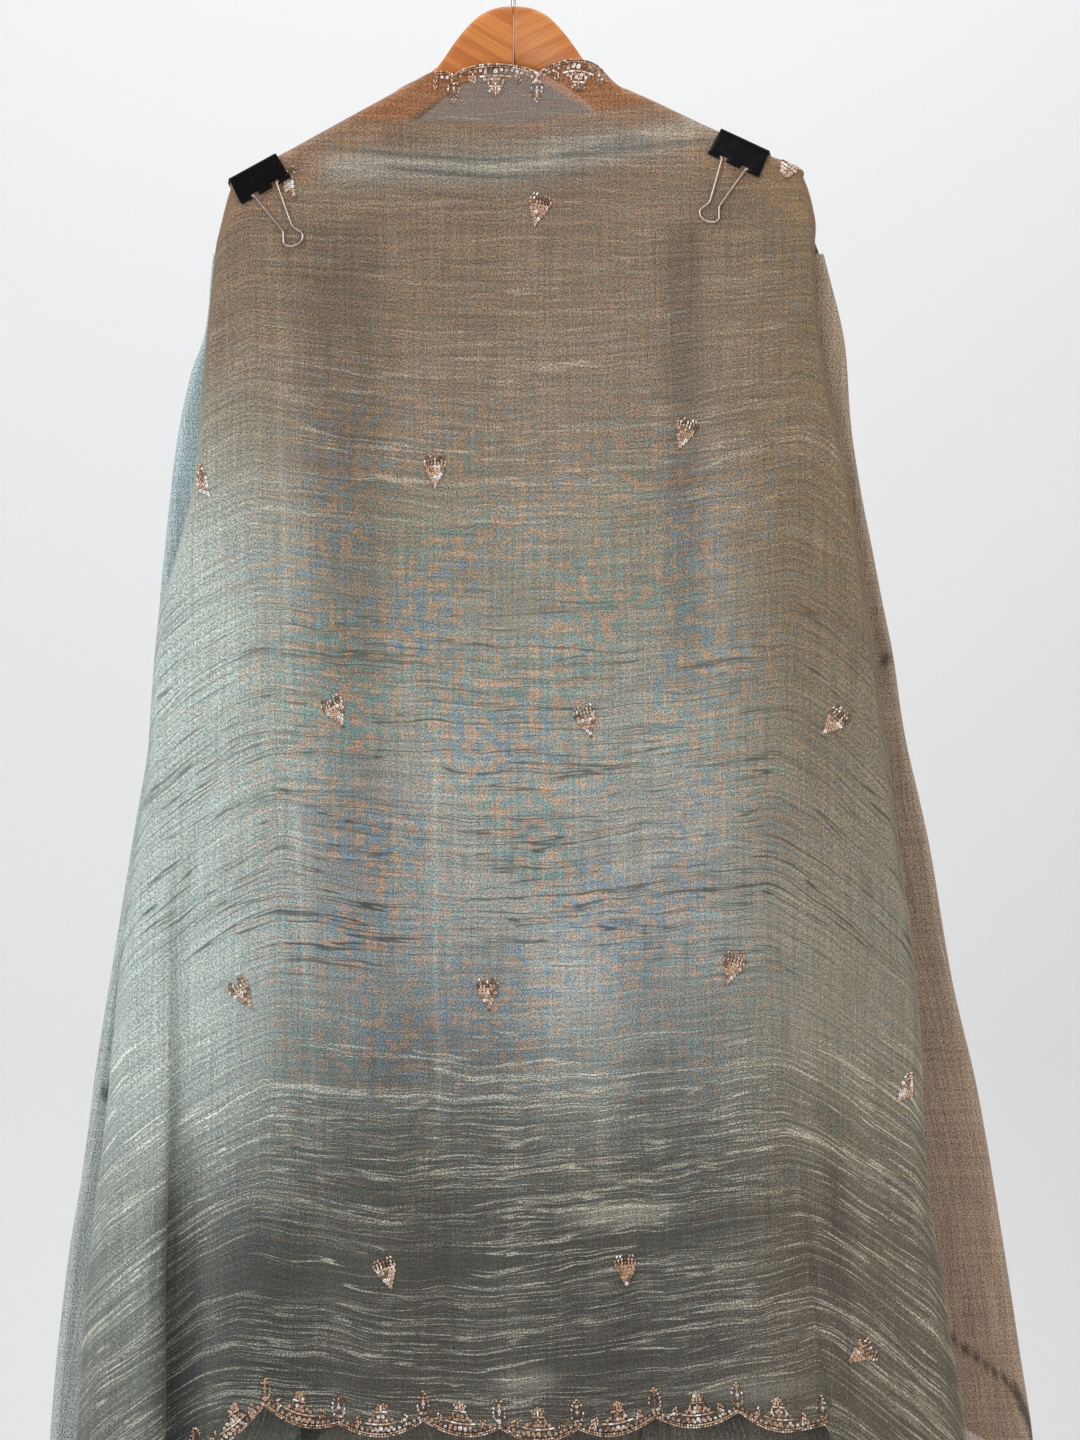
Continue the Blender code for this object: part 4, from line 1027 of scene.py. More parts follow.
def front_look(points):
    """Screen tone, line colour, moire, opacity and line strength of the front at points in mm."""
    x, drop = points[..., 0], points[..., 2]
    tone = np.stack([read(TONES, c, drop) for c in ("red", "green", "blue")], -1)
    # The left is partly the cloth's mint and partly painted light from the window, and the right
    # partly its olive and partly painted shade.
    left = ease(-x, 110.0, 245.0) * ease(drop, 210.0, 460.0)
    tone = mixed(left * 0.9, tone, mixed(ease(drop, 690.0, 1060.0), *MINT_WINDOW_LIT))
    shaded_olive = mixed(ease(drop, 350.0, 700.0), *OLIVE_IN_SHADE[:2])
    shaded_olive = mixed(ease(drop, 700.0, 900.0), shaded_olive, OLIVE_IN_SHADE[2])
    tone = mixed(ease(x, 120.0, 225.0) * 0.9, tone, shaded_olive)
    # Painted shade and painted light in bands along the folds and the parts behind.
    for row in SHADES:
        band = np.exp(-np.abs((x - read(row, "x", drop)) / row["half"]) ** 3)
        band = band * ease(drop, *row["from"]) * (1.0 - ease(drop, *row["to"]))
        tone = tone * (1.0 + row["gain"] * band)[..., None]
    # Painted highlights and shade lines along the cowl's folds.
    for row in COWL_LIGHT_AND_SHADE:
        first, last = row["x"][0], row["x"][-1]
        ends = ease(x, first - 24.0, first + 16.0) * ease(-x, -last - 24.0, 16.0 - last)
        middle = np.interp(x, row["x"], row["drop"])
        streak = np.exp(-((drop - middle) / row["half"]) ** 2)
        tone = mixed(row["share"] * ends * streak, tone, row["tone"])
    # Above this line one layer lies over the wood and the wall, and below it there are two.
    under = ease(drop - np.interp(x, *LAYER_LINE), -1.2, 1.2)
    # Over the wood the tone is painted warmer and lighter for the lit wood seen through the cloth,
    # and between the arms above the layer line it is painted darker as shade.
    arm = by_side(x, 61.0 + 0.647 * (-x - 39.0), 68.0 + 0.548 * (x - 39.0))
    over_wood = ease(arm - drop, -2.5, 2.5)
    warmth = over_wood * (1.0 - under + under * 0.25)
    tone = tone * (1.0 + warmth[..., None] * np.array(WOOD_UNDER))
    tone = tone * (1.0 - 0.10 * (1.0 - over_wood) * (1.0 - under))[..., None]
    # Pale patches are painted light where the wall shows through gaps in the layers behind.
    for px, pz, wide, high, share in PALE_PATCHES:
        patch = spot(x - px, drop - pz - 0.08 * (px - x), wide, high)
        tone = mixed(patch * share, tone, PALE_TONE)
    lit_line_share = 1.0 - ease(drop, 330.0, 470.0) + ease(drop, 680.0, 800.0)
    moire = np.exp(-((x + 10.0) / 200.0) ** 4)
    moire = moire * ease(drop, 190.0, 480.0) * (1.0 - ease(drop, 660.0, 880.0))
    moire = np.maximum(moire, 0.16 - 0.11 * ease(drop, 820.0, 940.0))
    bold = np.interp(drop, (150.0, 300.0, 420.0, 600.0, 760.0), (0.22, 0.34, 0.62, 0.95, 1.0))
    return tone, lit_line_share, moire * 0.9, 0.90 + 0.07 * under, bold


# %% Tones of the falls
REVERSE_EDGE = {"drop": (970, 978, 1018, 1051, 1082), "x": (306, 317.6, 370, 384.7, 392)}
REVERSE_SPRIGS = ((273.8, 481), (286, 655), (-262, 420), (-300, 800))


def fall_look(tone_top, tone_low, cover, bold):
    """A tone that drifts down the fall, with the darker marks of the beads on its far side."""

    def look(points):
        x, drop = points[..., 0], points[..., 2]
        tone = mixed(ease(drop, 300.0, 1100.0), tone_top, tone_low)
        edge = np.abs(x - np.interp(drop, REVERSE_EDGE["drop"], REVERSE_EDGE["x"])) / 3.4
        mark = np.exp(-edge ** 4) * ease(drop, 968.0, 976.0) * 0.5
        for px, pz in REVERSE_SPRIGS:
            mark = np.maximum(mark, 0.45 * spot(x - px, drop - pz, 4.5, 5.5))
        shape = np.zeros(drop.shape)
        return tone * (1.0 - mark)[..., None], shape + 0.6, shape, shape + cover, shape + bold

    return look


# %% [markdown]
# ## Making a stretch of cloth
# Every stretch starts as a flat grid. Its points are moved onto the shape, which gives an even mesh
# with no poles, and a Solidify modifier gives the thin shell its thickness. The UV map is in metres
# and its U runs along the crinkles, so the pattern bends where the cloth bends.

# %% Helper: a stretch of cloth
CLOTH_THICK = 0.0004
EVEN = ((0.0, 1.0), (0.0, 1.0))


def cloth_stretch(name, columns, rows, shape, metres, look, across_at=EVEN, down_at=EVEN):
    """A shell on shape(across, down); metres gives the UV and look gives the attributes.

    across_at and down_at say which shares of the grid fall on which shares of the cloth."""
    bm, across, down = grid_shares(columns, rows)
    across, down = np.interp(across, *across_at), np.interp(down, *down_at)
    points = shape(across, down)
    place_points(bm, points)
    layer = bm.loops.layers.uv.new("cloth_metres")
    uv = metres(points, across, down) * MM
    bm.verts.index_update()
    for face in bm.faces:
        for loop in face.loops:
            loop[layer].uv = uv[loop.vert.index]
    piece = finish_piece(name, bm, TISSUE)
    tone, lit_line_share, moire, cover, bold = look(points)
    mesh = piece.data
    mesh.materials.append(SHEER_TISSUE)
    corners = np.array([face.vertices[:] for face in mesh.polygons])
    sheer = cover[corners].min(axis=1) < CLOSE
    mesh.polygons.foreach_set("material_index", sheer.astype(np.int32))
    # The shell has two walls, and each lets through the square root of the light.
    wall_cover = 1.0 - np.sqrt(1.0 - np.clip(cover, 0.0, 0.999))
    columns_of = {"tone": [to_linear(tone), np.ones(len(points))],
                  "traits": [lit_line_share, moire, wall_cover, bold]}
    for label, columns in columns_of.items():
        layer = mesh.attributes.new(label, "FLOAT_COLOR", "POINT")
        layer.data.foreach_set("color", np.column_stack(columns).astype(np.float32).ravel())
    shell = piece.modifiers.new("cloth_thickness", "SOLIDIFY")
    shell.thickness = CLOTH_THICK
    shell.offset = 0.0
    area = sum(face.area for face in mesh.polygons)
    print(f"{name}: {len(mesh.polygons)} faces, {area:.3f} square metres")
    return piece


def nodes_of(*starts):
    """Names of the frame's nodes that begin with one of these."""
    return [n for n in sorted(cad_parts) if n.startswith(starts)]


# %% Front panel
BEND_LEFT = {"drop": (100, 400, 600, 800, 1000), "x": (-190, -182, -166, -172, -200)}
BEND_RIGHT = {"drop": (100, 500, 700, 800, 900, 960, 1060),
              "x": (215, 192, 176, 190, 208, 218, 224)}
COLUMNS_AT = ((0.0, 0.075, 0.925, 1.0), (-1.0, 0.0, 1.0, 2.0))
ROWS_AT = ((0.0, 0.06, 0.27, 1.0), (-1.0, 0.0, 0.10, 1.0))


def front_metres(points, across, down):
    """U along the crinkles, V across them: level in the middle and falling towards the sides."""
    x, drop = points[:, 0], points[:, 2]
    x = x + (across - np.clip(across, 0.0, 1.0)) * 30.0
    right = np.maximum(x - read(BEND_RIGHT, "x", drop), 0.0)
    left = np.maximum(read(BEND_LEFT, "x", drop) - x, 0.0)
    fall = right * right / (right + 22.0) * 0.95 + left * left / (left + 20.0) * 0.85
    sag = 17.0 * np.clip(1.0 - (x / 200.0) ** 2, -0.3, 1.0) * ease(drop, 120.0, 320.0)
    tilt = 0.055 * np.clip(x + 80.0, 0.0, 300.0) * ease(drop, 600.0, 900.0)
    return np.column_stack([x, drop - fall - sag + tilt])


front = cloth_stretch("cloth_front_shell", 236, 196, front_shape, front_metres, front_look,
                      COLUMNS_AT, ROWS_AT)
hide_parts(*nodes_of("front_"))


# %% Side falls
def fall_metres(sign):
    """U down the fall and V across it, with the crinkles fanning a little outward."""

    def metres(points, across, down):
        x, y, drop = points[:, 0] * sign, points[:, 1], points[:, 2]
        slant = 0.16 * ease(drop, 300.0, 900.0)
        return np.column_stack([drop, x + y * 0.8 - slant * (drop - 300.0)])

    return metres


# Tones of the falls, partly the cloth's colour and partly painted light and shade: paler at the left
# where the window light falls, darker at the right, and the sheer back layers painted pale where
# light comes through one layer.
FALLS = {
    "return_left": {"top": (158, 160, 148), "low": (96, 98, 90), "cover": 1.0},
    "return_right": {"top": (124, 113, 97), "low": (86, 82, 70), "cover": 1.0},
    "back_left": {"top": (200, 220, 222), "low": (206, 214, 210), "cover": 0.70},
    "back_right": {"top": (184, 162, 138), "low": (190, 162, 138), "cover": 0.84},
    "inner_left": {"top": (150, 154, 146), "low": (96, 96, 86), "cover": 1.0},
    "inner_right": {"top": (126, 114, 98), "low": (100, 95, 84), "cover": 1.0},
}
SHAPES = {"return": return_shape, "back": back_shape, "inner": inner_shape}
GRID = {"return": (64, 118), "back": (96, 116), "inner": (88, 132)}
BOLD = {"return": 0.6, "back": 0.22, "inner": 0.6}
falls = {}
for name, row in FALLS.items():
    kind, side = name.split("_")
    look = fall_look(row["top"], row["low"], row["cover"], BOLD[kind])
    falls[name] = cloth_stretch(name + "_shell", *GRID[kind], SHAPES[kind](side),
                                fall_metres(SIGN[side]), look)
    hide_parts(*nodes_of(name))

# %% Flap behind the hem
FLAP_TOP, FLAP_LOW = 640.0, 1076.0


def flap_shape(across, down):
    """A corner of the right fall that fans inward behind the hem from the fold of the fall."""
    drop = FLAP_TOP + (FLAP_LOW - FLAP_TOP) * down - 5.0 * across * down
    start = read(INNER_FOLD["right"], "x", drop) + 9.0
    x = start - (14.0 + 236.0 * down ** 1.25) * across
    y = read(INNER_FOLD["right"], "y", drop) - 7.0 - 7.0 * across
    y = y + 3.0 * np.sin(across * 11.0 + 0.8) * ease(across, 0.02, 0.3) * down
    return np.stack([x, y, drop], -1)


flap = cloth_stretch("fall_flap_shell", 90, 70, flap_shape, fall_metres(1.0),
                     fall_look((100, 95, 82), (88, 84, 72), 1.0, 0.6))

# %% [markdown]
# ## The wooden hanger
# Each half is one flat bar of light hardwood, sawn to a curve at the neck and rounded along its
# edges, and the halves meet in a mitre under the hook. A grid rolled into a tube along a table of
# heights gives the curve and an even mesh for the grain, which a stretched cube couldn't.


# %% Arm shape
def arm_section(side, x):
    """Drop of the top and the underside, and the thickness, at a distance from the centre."""
    top = arm_line(side, x) + 2.0 * math.hypot(1.0, ARM_LINE[side]["slope"])
    height = 27.5 - 6.5 * ease(x, 60.0, 200.0)
    blend = ease(x, 50.0, 72.0)
    near, past = np.minimum(x, 55.0), np.maximum(x - 55.0, 0.0) * 0.62
    neck_top = read(NECK, "top", near, "x") + past
    neck_under = read(NECK, "under", near, "x") + past
    rise = neck_top + (top - neck_top) * blend
    under = neck_under + (top + height - neck_under) * blend
    tip = ease(x, 186.0, ARM_REACH)
    cut = 8.6 * tip * tip
    return rise + cut, under - cut, 11.4 - 4.4 * tip * tip


ROUND_FACE, ROUND_EDGE = 0.34, 0.42


def wood_arm(side):
    """A grid rolled round the bar; its two open ends are filled after the seam is merged."""
    bm, share, around = grid_shares(88, 32)
    x = MITRE_GAP + (ARM_REACH - MITRE_GAP) * share
    top, under, thick = arm_section(side, x)
    c, s = np.cos(2.0 * math.pi * around), np.sin(2.0 * math.pi * around)
    y = thick / 2.0 * np.sign(s) * np.abs(s) ** ROUND_FACE
    drop = (top + under) / 2.0 - (under - top) / 2.0 * np.sign(c) * np.abs(c) ** ROUND_EDGE
    if side == "right":
        low = ease(drop - top, 0.60 * (under - top), under - top) * ease(-y, 1.0, 4.0)
        y = y + 2.6 * low * (1.0 - ease(x, 90.0, 150.0))
    place_points(bm, np.column_stack([x * SIGN[side], y + arm_plane(x), drop]))
    bmesh.ops.remove_doubles(bm, verts=bm.verts, dist=0.00001)
    rims = [e for e in bm.edges if e.is_boundary]
    bmesh.ops.holes_fill(bm, edges=rims, sides=0)
    bmesh.ops.recalc_face_normals(bm, faces=bm.faces)
    return bm


# %% Wood finish
WOOD_PALE, WOOD_DEEP = srgb(212, 134, 62), srgb(192, 110, 42)
STREAK_TINT = (0.62, 0.50, 0.38, 1.0)


def wood_material(name, turn):
    """Varnished hardwood: streaks along the bar, a warmer tone in bands and a satin coat."""
    material, n, shader = new_finish(name, {"Coat Weight": 0.25, "Coat Roughness": 0.25})
    place = n.add("Mapping")
    n.put((0.0, turn, 0.0), place.inputs["Rotation"])
    n.put(n.add("TexCoord").outputs["Object"], place.inputs["Vector"])
    grain = n.group(WOOD, place.outputs[0])
    base = n.mix(grain["Band"], WOOD_PALE, WOOD_DEEP)
    dark = n.mix(1.0, base, STREAK_TINT, "MULTIPLY")
    n.put(n.mix(n.times(grain["Streak"], 0.42), base, dark), shader.inputs["Base Color"])
    n.put(n.plus(n.times(grain["Streak"], 0.14), 0.34), shader.inputs["Roughness"])
    n.put(n.bump(grain["Streak"], 0.25, 0.0004), shader.inputs["Normal"])
    return material


for side, sign in SIGN.items():
    finish = wood_material(f"varnished_wood_{side}", sign * math.atan(ARM_LINE[side]["slope"]))
    arm = finish_piece(f"wood_arm_{side}", wood_arm(side), finish)
    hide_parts(f"arm_{side}")
    print(arm.name, len(arm.data.polygons), "faces")

# %% [markdown]
# ## Hook, clips and their levers
# The hook is one round wire, bent, so a bevelled curve is the shortest honest way to make it. A
# binder clip is a bent spring plate with a curl on each lip, which is a strip of grid laid on the
# plate's profile, cut away where the lever's ends go in, and given its thickness.


# %% Metal finishes
def metal_material(name, colour, roughness, settings):
    """Plated or enamelled metal, with faint smears in its gloss and a little handling wear."""
    material, n, shader = new_finish(name, settings)
    place = n.add("TexCoord").outputs["Object"]
    smear = n.noise(place, (240.0, 240.0, 240.0), 3.0)
    fine = n.noise(place, (1500.0, 1500.0, 1500.0), 1.0)
    n.put(n.plus(n.times(smear, 0.12), roughness - 0.06), shader.inputs["Roughness"])
    paler = tuple(min(1.0, c * 1.35 + 0.004) for c in colour[:3]) + (1.0,)
    n.put(n.mix(n.between(smear, 0.55, 0.75), colour, paler), shader.inputs["Base Color"])
    n.put(n.bump(fine, 0.08, 0.0002), shader.inputs["Normal"])
    return material


CHROME = metal_material("hook_chrome", (0.62, 0.62, 0.61, 1.0), 0.18, {"Metallic": 1.0})
PLATED = metal_material("lever_plating", (0.58, 0.48, 0.43, 1.0), 0.20, {"Metallic": 1.0})
ENAMEL = metal_material("black_enamel", (0.004, 0.003, 0.004, 1.0), 0.22,
                        {"Metallic": 0.0, "Specular IOR Level": 0.12})


# %% Wires
def rounded(points, times=2):
    """The same line with its corners cut again and again, so that it turns softly."""
    points = [Vector(p) for p in points]
    for _ in range(times):
        cut = [points[0]]
        for a, b in zip(points, points[1:]):
            cut += [a * 0.75 + b * 0.25, a * 0.25 + b * 0.75]
        points = cut + [points[-1]]
    return points


def wire(name, points, radius, material, body):
    """A round wire as a bevelled curve, riding on a body."""
    data = bpy.data.curves.new(name, "CURVE")
    data.dimensions = "3D"
    data.bevel_depth = radius
    data.bevel_resolution = 4
    data.use_fill_caps = True
    spline = data.splines.new("POLY")
    spline.points.add(len(points) - 1)
    for point, at in zip(spline.points, points):
        point.co = (*at, 1.0)
    spline.use_smooth = True
    data.materials.append(material)
    return link_piece(name, data, body)


HOOK = {"radius": 1.8, "bend": 18.7, "start": math.radians(232.0), "turn": math.radians(262.0),
        "stem": 9.0}
ring = HOOK["bend"] + HOOK["radius"]
bend_x, bend_z = ring * math.cos(HOOK["start"]), ring * math.sin(HOOK["start"]) - HOOK["bend"]
low = WOOD_TOP + HOOK["stem"]
line = [(0.0, WOOD_TOP - 6.0), (0.0, WOOD_TOP + 0.5), (0.0, low)]
for t in np.arange(1, 6) / 6.0:
    h = t * t * (3.0 - 2.0 * t)
    line.append((bend_x * h, low + (bend_z - low) * (t * 0.9 + 0.1 * h)))
for k in range(44):
    angle = HOOK["start"] - HOOK["turn"] * k / 43.0
    line.append((ring * math.cos(angle), ring * math.sin(angle) - HOOK["bend"]))
hook = wire("hook_wire_curve", [Vector((x, 0.0, z)) * MM for x, z in line],
            HOOK["radius"] * MM, CHROME, HOLDER)
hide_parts("hook")
print("hook points:", len(line))


# %% Clip frame and profile
def clip_frame(side):
    """Axes of a clip: outward along the arm, toward the back, and up off the arm."""
    sign, slope, distance = SIGN[side], ARM_LINE[side]["slope"], ARM_LINE[side]["clip"]
    along = Vector((sign, -KINK, -slope)).normalized()
    back = Vector((sign * KINK, 1.0, 0.0)).normalized()
    up = back.cross(along)
    up = up if up.z > 0.0 else -up
    crown = Vector((sign * distance, float(arm_plane(distance)),
                    WOOD_TOP - float(arm_line(side, distance)))) * MM
    return Matrix([*zip(along, back, up, crown), (0.0, 0.0, 0.0, 1.0)])


CURL, CURL_CELLS = 1.5, 14
face = HANDLE_AXIS - CURL
HALF_PLATE = [(HANDLE_AXIS + CURL, CLIP_JAW + 0.9)]
for k in range(13):
    angle = math.radians(-15.0 * k)
    HALF_PLATE.append((HANDLE_AXIS + CURL * math.cos(angle), CLIP_JAW + CURL * math.sin(angle)))
HALF_PLATE += [(face, CLIP_JAW + 1.6), (face + 0.35, CLIP_JAW + 5.0), (face + 0.7, CLIP_JAW + 9.0),
               (face + 1.1, -4.6), (face + 1.45, -0.9), (face + 1.38, -0.1), (face + 1.2, 0.55),
               (face + 0.8, 1.0), (face + 0.3, 1.2), (4.0, 1.2), (0.0, 1.2)]
PLATE = [(-d, h) for d, h in HALF_PLATE] + [(d, h) for d, h in reversed(HALF_PLATE[:-1])]
PLATE_THICK, PLATE_ROUND, LEVER_RADIUS = 0.8, 0.22, 0.75
NOTCH = (5.6, 11.3)
CUTS = (-20.5, -18.5, -15.0, -11.3, -9.0, -6.9, -5.6, -2.0,
        2.0, 5.6, 6.9, 9.0, 11.3, 15.0, 18.5, 20.5)


# %% Clips
def clip_plate(side):
    """A grid laid on the profile, with the curls cut away where the lever's ends go in."""
    bm = bmesh.new()
    bmesh.ops.create_grid(bm, x_segments=len(CUTS) - 1, y_segments=len(PLATE) - 1, size=1.0)
    turn = clip_frame(side)
    cell = {}
    for vert in bm.verts:
        i = round((vert.co.x * 0.5 + 0.5) * (len(CUTS) - 1))
        j = round((vert.co.y * 0.5 + 0.5) * (len(PLATE) - 1))
        depth, height = PLATE[j]
        narrow = max(0.9, 1.0 - 0.045 * (height - CLIP_JAW) / (1.2 - CLIP_JAW))
        vert.co = turn @ (Vector((CUTS[i] * narrow, depth, height)) * MM)
        cell[vert] = (i, j)
    notch = []
    for part in bm.faces:
        i = min(cell[v][0] for v in part.verts)
        j = min(cell[v][1] for v in part.verts)
        middle = abs(CUTS[i] + CUTS[i + 1]) / 2.0
        in_curl = j < CURL_CELLS or j >= len(PLATE) - 1 - CURL_CELLS
        if in_curl and NOTCH[0] < middle < NOTCH[1]:
            notch.append(part)
    bmesh.ops.delete(bm, geom=notch, context="FACES")
    bmesh.ops.recalc_face_normals(bm, faces=bm.faces)
    return bm


for side in SIGN:
    clip = finish_piece(f"clip_plate_{side}", clip_plate(side), ENAMEL)
    wall = clip.modifiers.new("plate", "SOLIDIFY")
    wall.thickness = PLATE_THICK * MM
    wall.offset = 0.0
    wall.use_even_offset = True
    soft = clip.modifiers.new("soft_edge", "BEVEL")
    soft.width = PLATE_ROUND * MM
    soft.segments = 2
    soft.limit_method = "ANGLE"
    soft.angle_limit = math.radians(50.0)
    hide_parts(f"clip_{side}")
    print(clip.name, len(clip.data.polygons), "faces before its thickness")

# %% Levers
LEVER = ((20.2, 0.0), (10.4, 0.0), (9.75, -0.25), (9.4, -0.9), (3.95, -31.6), (4.0, -33.6),
         (7.3, -39.6), (7.7, -41.2), (6.9, -43.2), (4.6, -45.4), (0.0, -46.4))
WHOLE_LEVER = list(LEVER) + [(-a, n) for a, n in reversed(LEVER[:-1])]
for side in SIGN:
    turn = clip_frame(side)
    for facing, outward in (("front", -1.0), ("back", 1.0)):
        points = []
        for a, n in WHOLE_LEVER:
            lean = 0.6 * max(0.0, -n / 46.4)
            at = Vector((a, outward * (HANDLE_AXIS - lean), CLIP_JAW + n)) * MM
            points.append(turn @ at)
        body = f"handle_{side}_{facing}"
        lever = wire(f"lever_{side}_{facing}", rounded(points), LEVER_RADIUS * MM, PLATED, body)
        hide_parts(body)
print("levers: 4")

# %% [markdown]
# ## Beads and sequins
# The border is worked by hand in copper cut beads, long bugles and small ring sequins. Each kind is
# modelled once with an operator and then copied as arrays of numbers into one joined mesh for each
# stretch of cloth, since thousands of separate objects would be slow. A bead knows its place, the
# direction that it lies in, the cloth's normal there, and a painted glint that sets how dark or
# bright its colour is.

# %% Bead shapes
RANDOM = np.random.default_rng(11)


def shape_arrays(bm):
    """Points in mm, the corner index of each loop and the corners of each face."""
    bmesh.ops.recalc_face_normals(bm, faces=bm.faces)
    bm.verts.index_update()
    points = np.array([v.co for v in bm.verts])
    loops = [v.index for part in bm.faces for v in part.verts]
    sizes = [len(part.verts) for part in bm.faces]
    bm.free()
    return points, np.array(loops), np.array(sizes)


def cut_bead(length, width):
    """A short faceted tube along X."""
    bm = bmesh.new()
    bmesh.ops.create_cone(bm, cap_ends=True, segments=6, radius1=width / 2, radius2=width / 2,
                          depth=length, matrix=Matrix.Rotation(math.radians(90.0), 4, "Y"))
    return shape_arrays(bm)


def ring_sequin(radius, hole):
    """A dished ring: a small triangle spun round Z."""
    bm = bmesh.new()
    corner = [bm.verts.new(c) for c in ((hole, 0.0, -0.12), (radius, 0.0, 0.28), (hole, 0.0, 0.22))]
    rim = [bm.edges.new((corner[k], corner[(k + 1) % 3])) for k in range(3)]
    bmesh.ops.spin(bm, geom=corner + rim, axis=(0.0, 0.0, 1.0), cent=(0.0, 0.0, 0.0),
                   steps=7, angle=2.0 * math.pi, use_merge=True)
    bmesh.ops.remove_doubles(bm, verts=bm.verts, dist=0.001)
    return shape_arrays(bm)


BEADS = {
    "cut": cut_bead(2.2, 1.6),
    "bugle": cut_bead(5.2, 1.7),
    "ring": ring_sequin(1.7, 0.5),
    "disc": ring_sequin(2.2, 0.45),
}
# Range of the painted glint for each kind: it sets how dark or nearly white a bead is painted.
PAINTED_GLINTS = {"cut": (0.0, 0.9), "bugle": (0.25, 1.0), "ring": (0.15, 0.95), "disc": (0.4, 1.0)}
BEAD_LIFT, BEAD_TILT = 1.0, 0.16
print({kind: int(len(shape[2])) for kind, shape in BEADS.items()})


# %% Beadwork collector
class Beadwork:
    """Gathers beads for one stretch of cloth and makes one mesh of them."""

    def __init__(self, name):
        self.name = name
        self.rows = []

    def add(self, kind, at, along, normal, size):
        """Beads of one kind at points in mm: along is their long direction."""
        count = len(at)
        normal, along = unit(normal), unit(along)
        side = unit(np.cross(normal + RANDOM.normal(0.0, BEAD_TILT, (count, 3)), along))
        basis = np.stack([along, side, np.cross(along, side)], axis=-1)
        points, loops, sizes = BEADS[kind]
        placed = np.einsum("nij,kj->nki", basis, points * size)
        placed = placed + (at + normal * BEAD_LIFT)[:, None, :]
        dull, shine = PAINTED_GLINTS[kind]
        painted_glint = np.repeat(dull + (shine - dull) * RANDOM.random(count), len(points))
        self.rows.append((placed.reshape(-1, 3), loops, sizes, count, painted_glint))

    def finish(self, material):
        corners, base = [], 0
        for placed, loops, _sizes, count, _glint in self.rows:
            shift = np.repeat(np.arange(count) * (len(placed) // count), len(loops)) + base
            corners.append(np.tile(loops, count) + shift)
            base += len(placed)
        points = np.concatenate([row[0] for row in self.rows])
        sizes = np.concatenate([np.tile(row[2], row[3]) for row in self.rows])
        painted_glints = np.concatenate([row[4] for row in self.rows])
        corners = np.concatenate(corners)
        points = np.column_stack([points[:, :2], WOOD_TOP - points[:, 2]]) * MM
        first = np.concatenate([[0], np.cumsum(sizes)[:-1]])
        mesh = bpy.data.meshes.new(self.name)
        mesh.vertices.add(len(points))
        mesh.vertices.foreach_set("co", points.astype(np.float32).ravel())
        mesh.loops.add(len(corners))
        mesh.loops.foreach_set("vertex_index", corners.astype(np.int32))
        mesh.polygons.add(len(sizes))
        mesh.polygons.foreach_set("loop_start", first.astype(np.int32))
        mesh.update(calc_edges=True)
        mesh.validate()
        glint_layer = mesh.attributes.new("painted_glint", "FLOAT", "POINT")
        glint_layer.data.foreach_set("value", painted_glints.astype(np.float32))
        mesh.materials.append(material)
        link_piece(self.name, mesh)
        triangles = int((sizes - 2).sum())
        print(self.name, triangles, "triangles")
        return triangles


# %% Bead finish
def bead_material():
    """Copper glass and foil; a painted glint tones each bead from dark bronze to a near-white
    highlight.
    """
    material, n, shader = new_finish("copper_beads", {"Metallic": 0.35, "Coat Weight": 0.5})
    painted_glint = n.attribute("painted_glint")["Fac"]
    cloud = n.noise(n.add("TexCoord").outputs["Object"], (30.0, 30.0, 30.0), 2.0)
    warm = n.mix(n.between(cloud, 0.4, 0.6), srgb(240, 206, 182), srgb(220, 176, 144))
    deep = n.mix(n.between(painted_glint, 0.05, 0.62), srgb(112, 80, 60), warm)
    # The nearly white colour is a painted highlight on the beads that glint most.
    colour = n.mix(n.between(painted_glint, 0.80, 0.84), deep, srgb(255, 250, 244))
    n.put(colour, shader.inputs["Base Color"])
    n.put(n.maths("SUBTRACT", 0.36, n.times(painted_glint, 0.2)), shader.inputs["Roughness"])
    return material


COPPER = bead_material()

# %% [markdown]
# ## Motifs
# A motif is a short table of beads with their places across and up, in millimetres, as they are
# sewn on flat cloth. To sew it on, each place is looked up on the draped cloth, so the motif bends
# with the folds.

# %% Motif tables
TREE = (
    ("ring", -7.5, 6.6, 0), ("ring", -3.8, 5.9, 0), ("disc", 0, 6.2, 0), ("ring", 3.8, 5.9, 0),
    ("ring", 7.5, 6.6, 0), ("bugle", -9.6, 9.4, 0), ("bugle", -4.8, 9.4, 0), ("bugle", 0, 9.4, 0),
    ("bugle", 4.8, 9.4, 0), ("bugle", 9.6, 9.4, 0), ("ring", -8, 11.9, 0), ("ring", -5.6, 13.6, 0),
    ("cut", -4.4, 11.8, 75), ("ring", -2.4, 12, 0), ("ring", 0, 12.4, 0), ("ring", 2.4, 12, 0),
    ("cut", 4.4, 11.8, 105), ("ring", 5.6, 13.6, 0), ("ring", 8, 11.9, 0), ("cut", -5.2, 15.8, 70),
    ("cut", 5.2, 15.8, 110), ("ring", -1.6, 14.8, 0), ("ring", 1.6, 14.8, 0), ("cut", 0, 16.4, 90),
    ("bugle", -2.7, 18.3, 4), ("bugle", 2.7, 18.3, -4), ("ring", -2.6, 20.6, 0),
    ("ring", 2.6, 20.6, 0), ("bugle", 0, 20.9, 90), ("cut", -4.3, 22.4, 55),
    ("cut", 4.3, 22.4, 125), ("ring", -1.7, 23.4, 0), ("ring", 1.7, 23.4, 0), ("cut", 0, 24.8, 90),
)
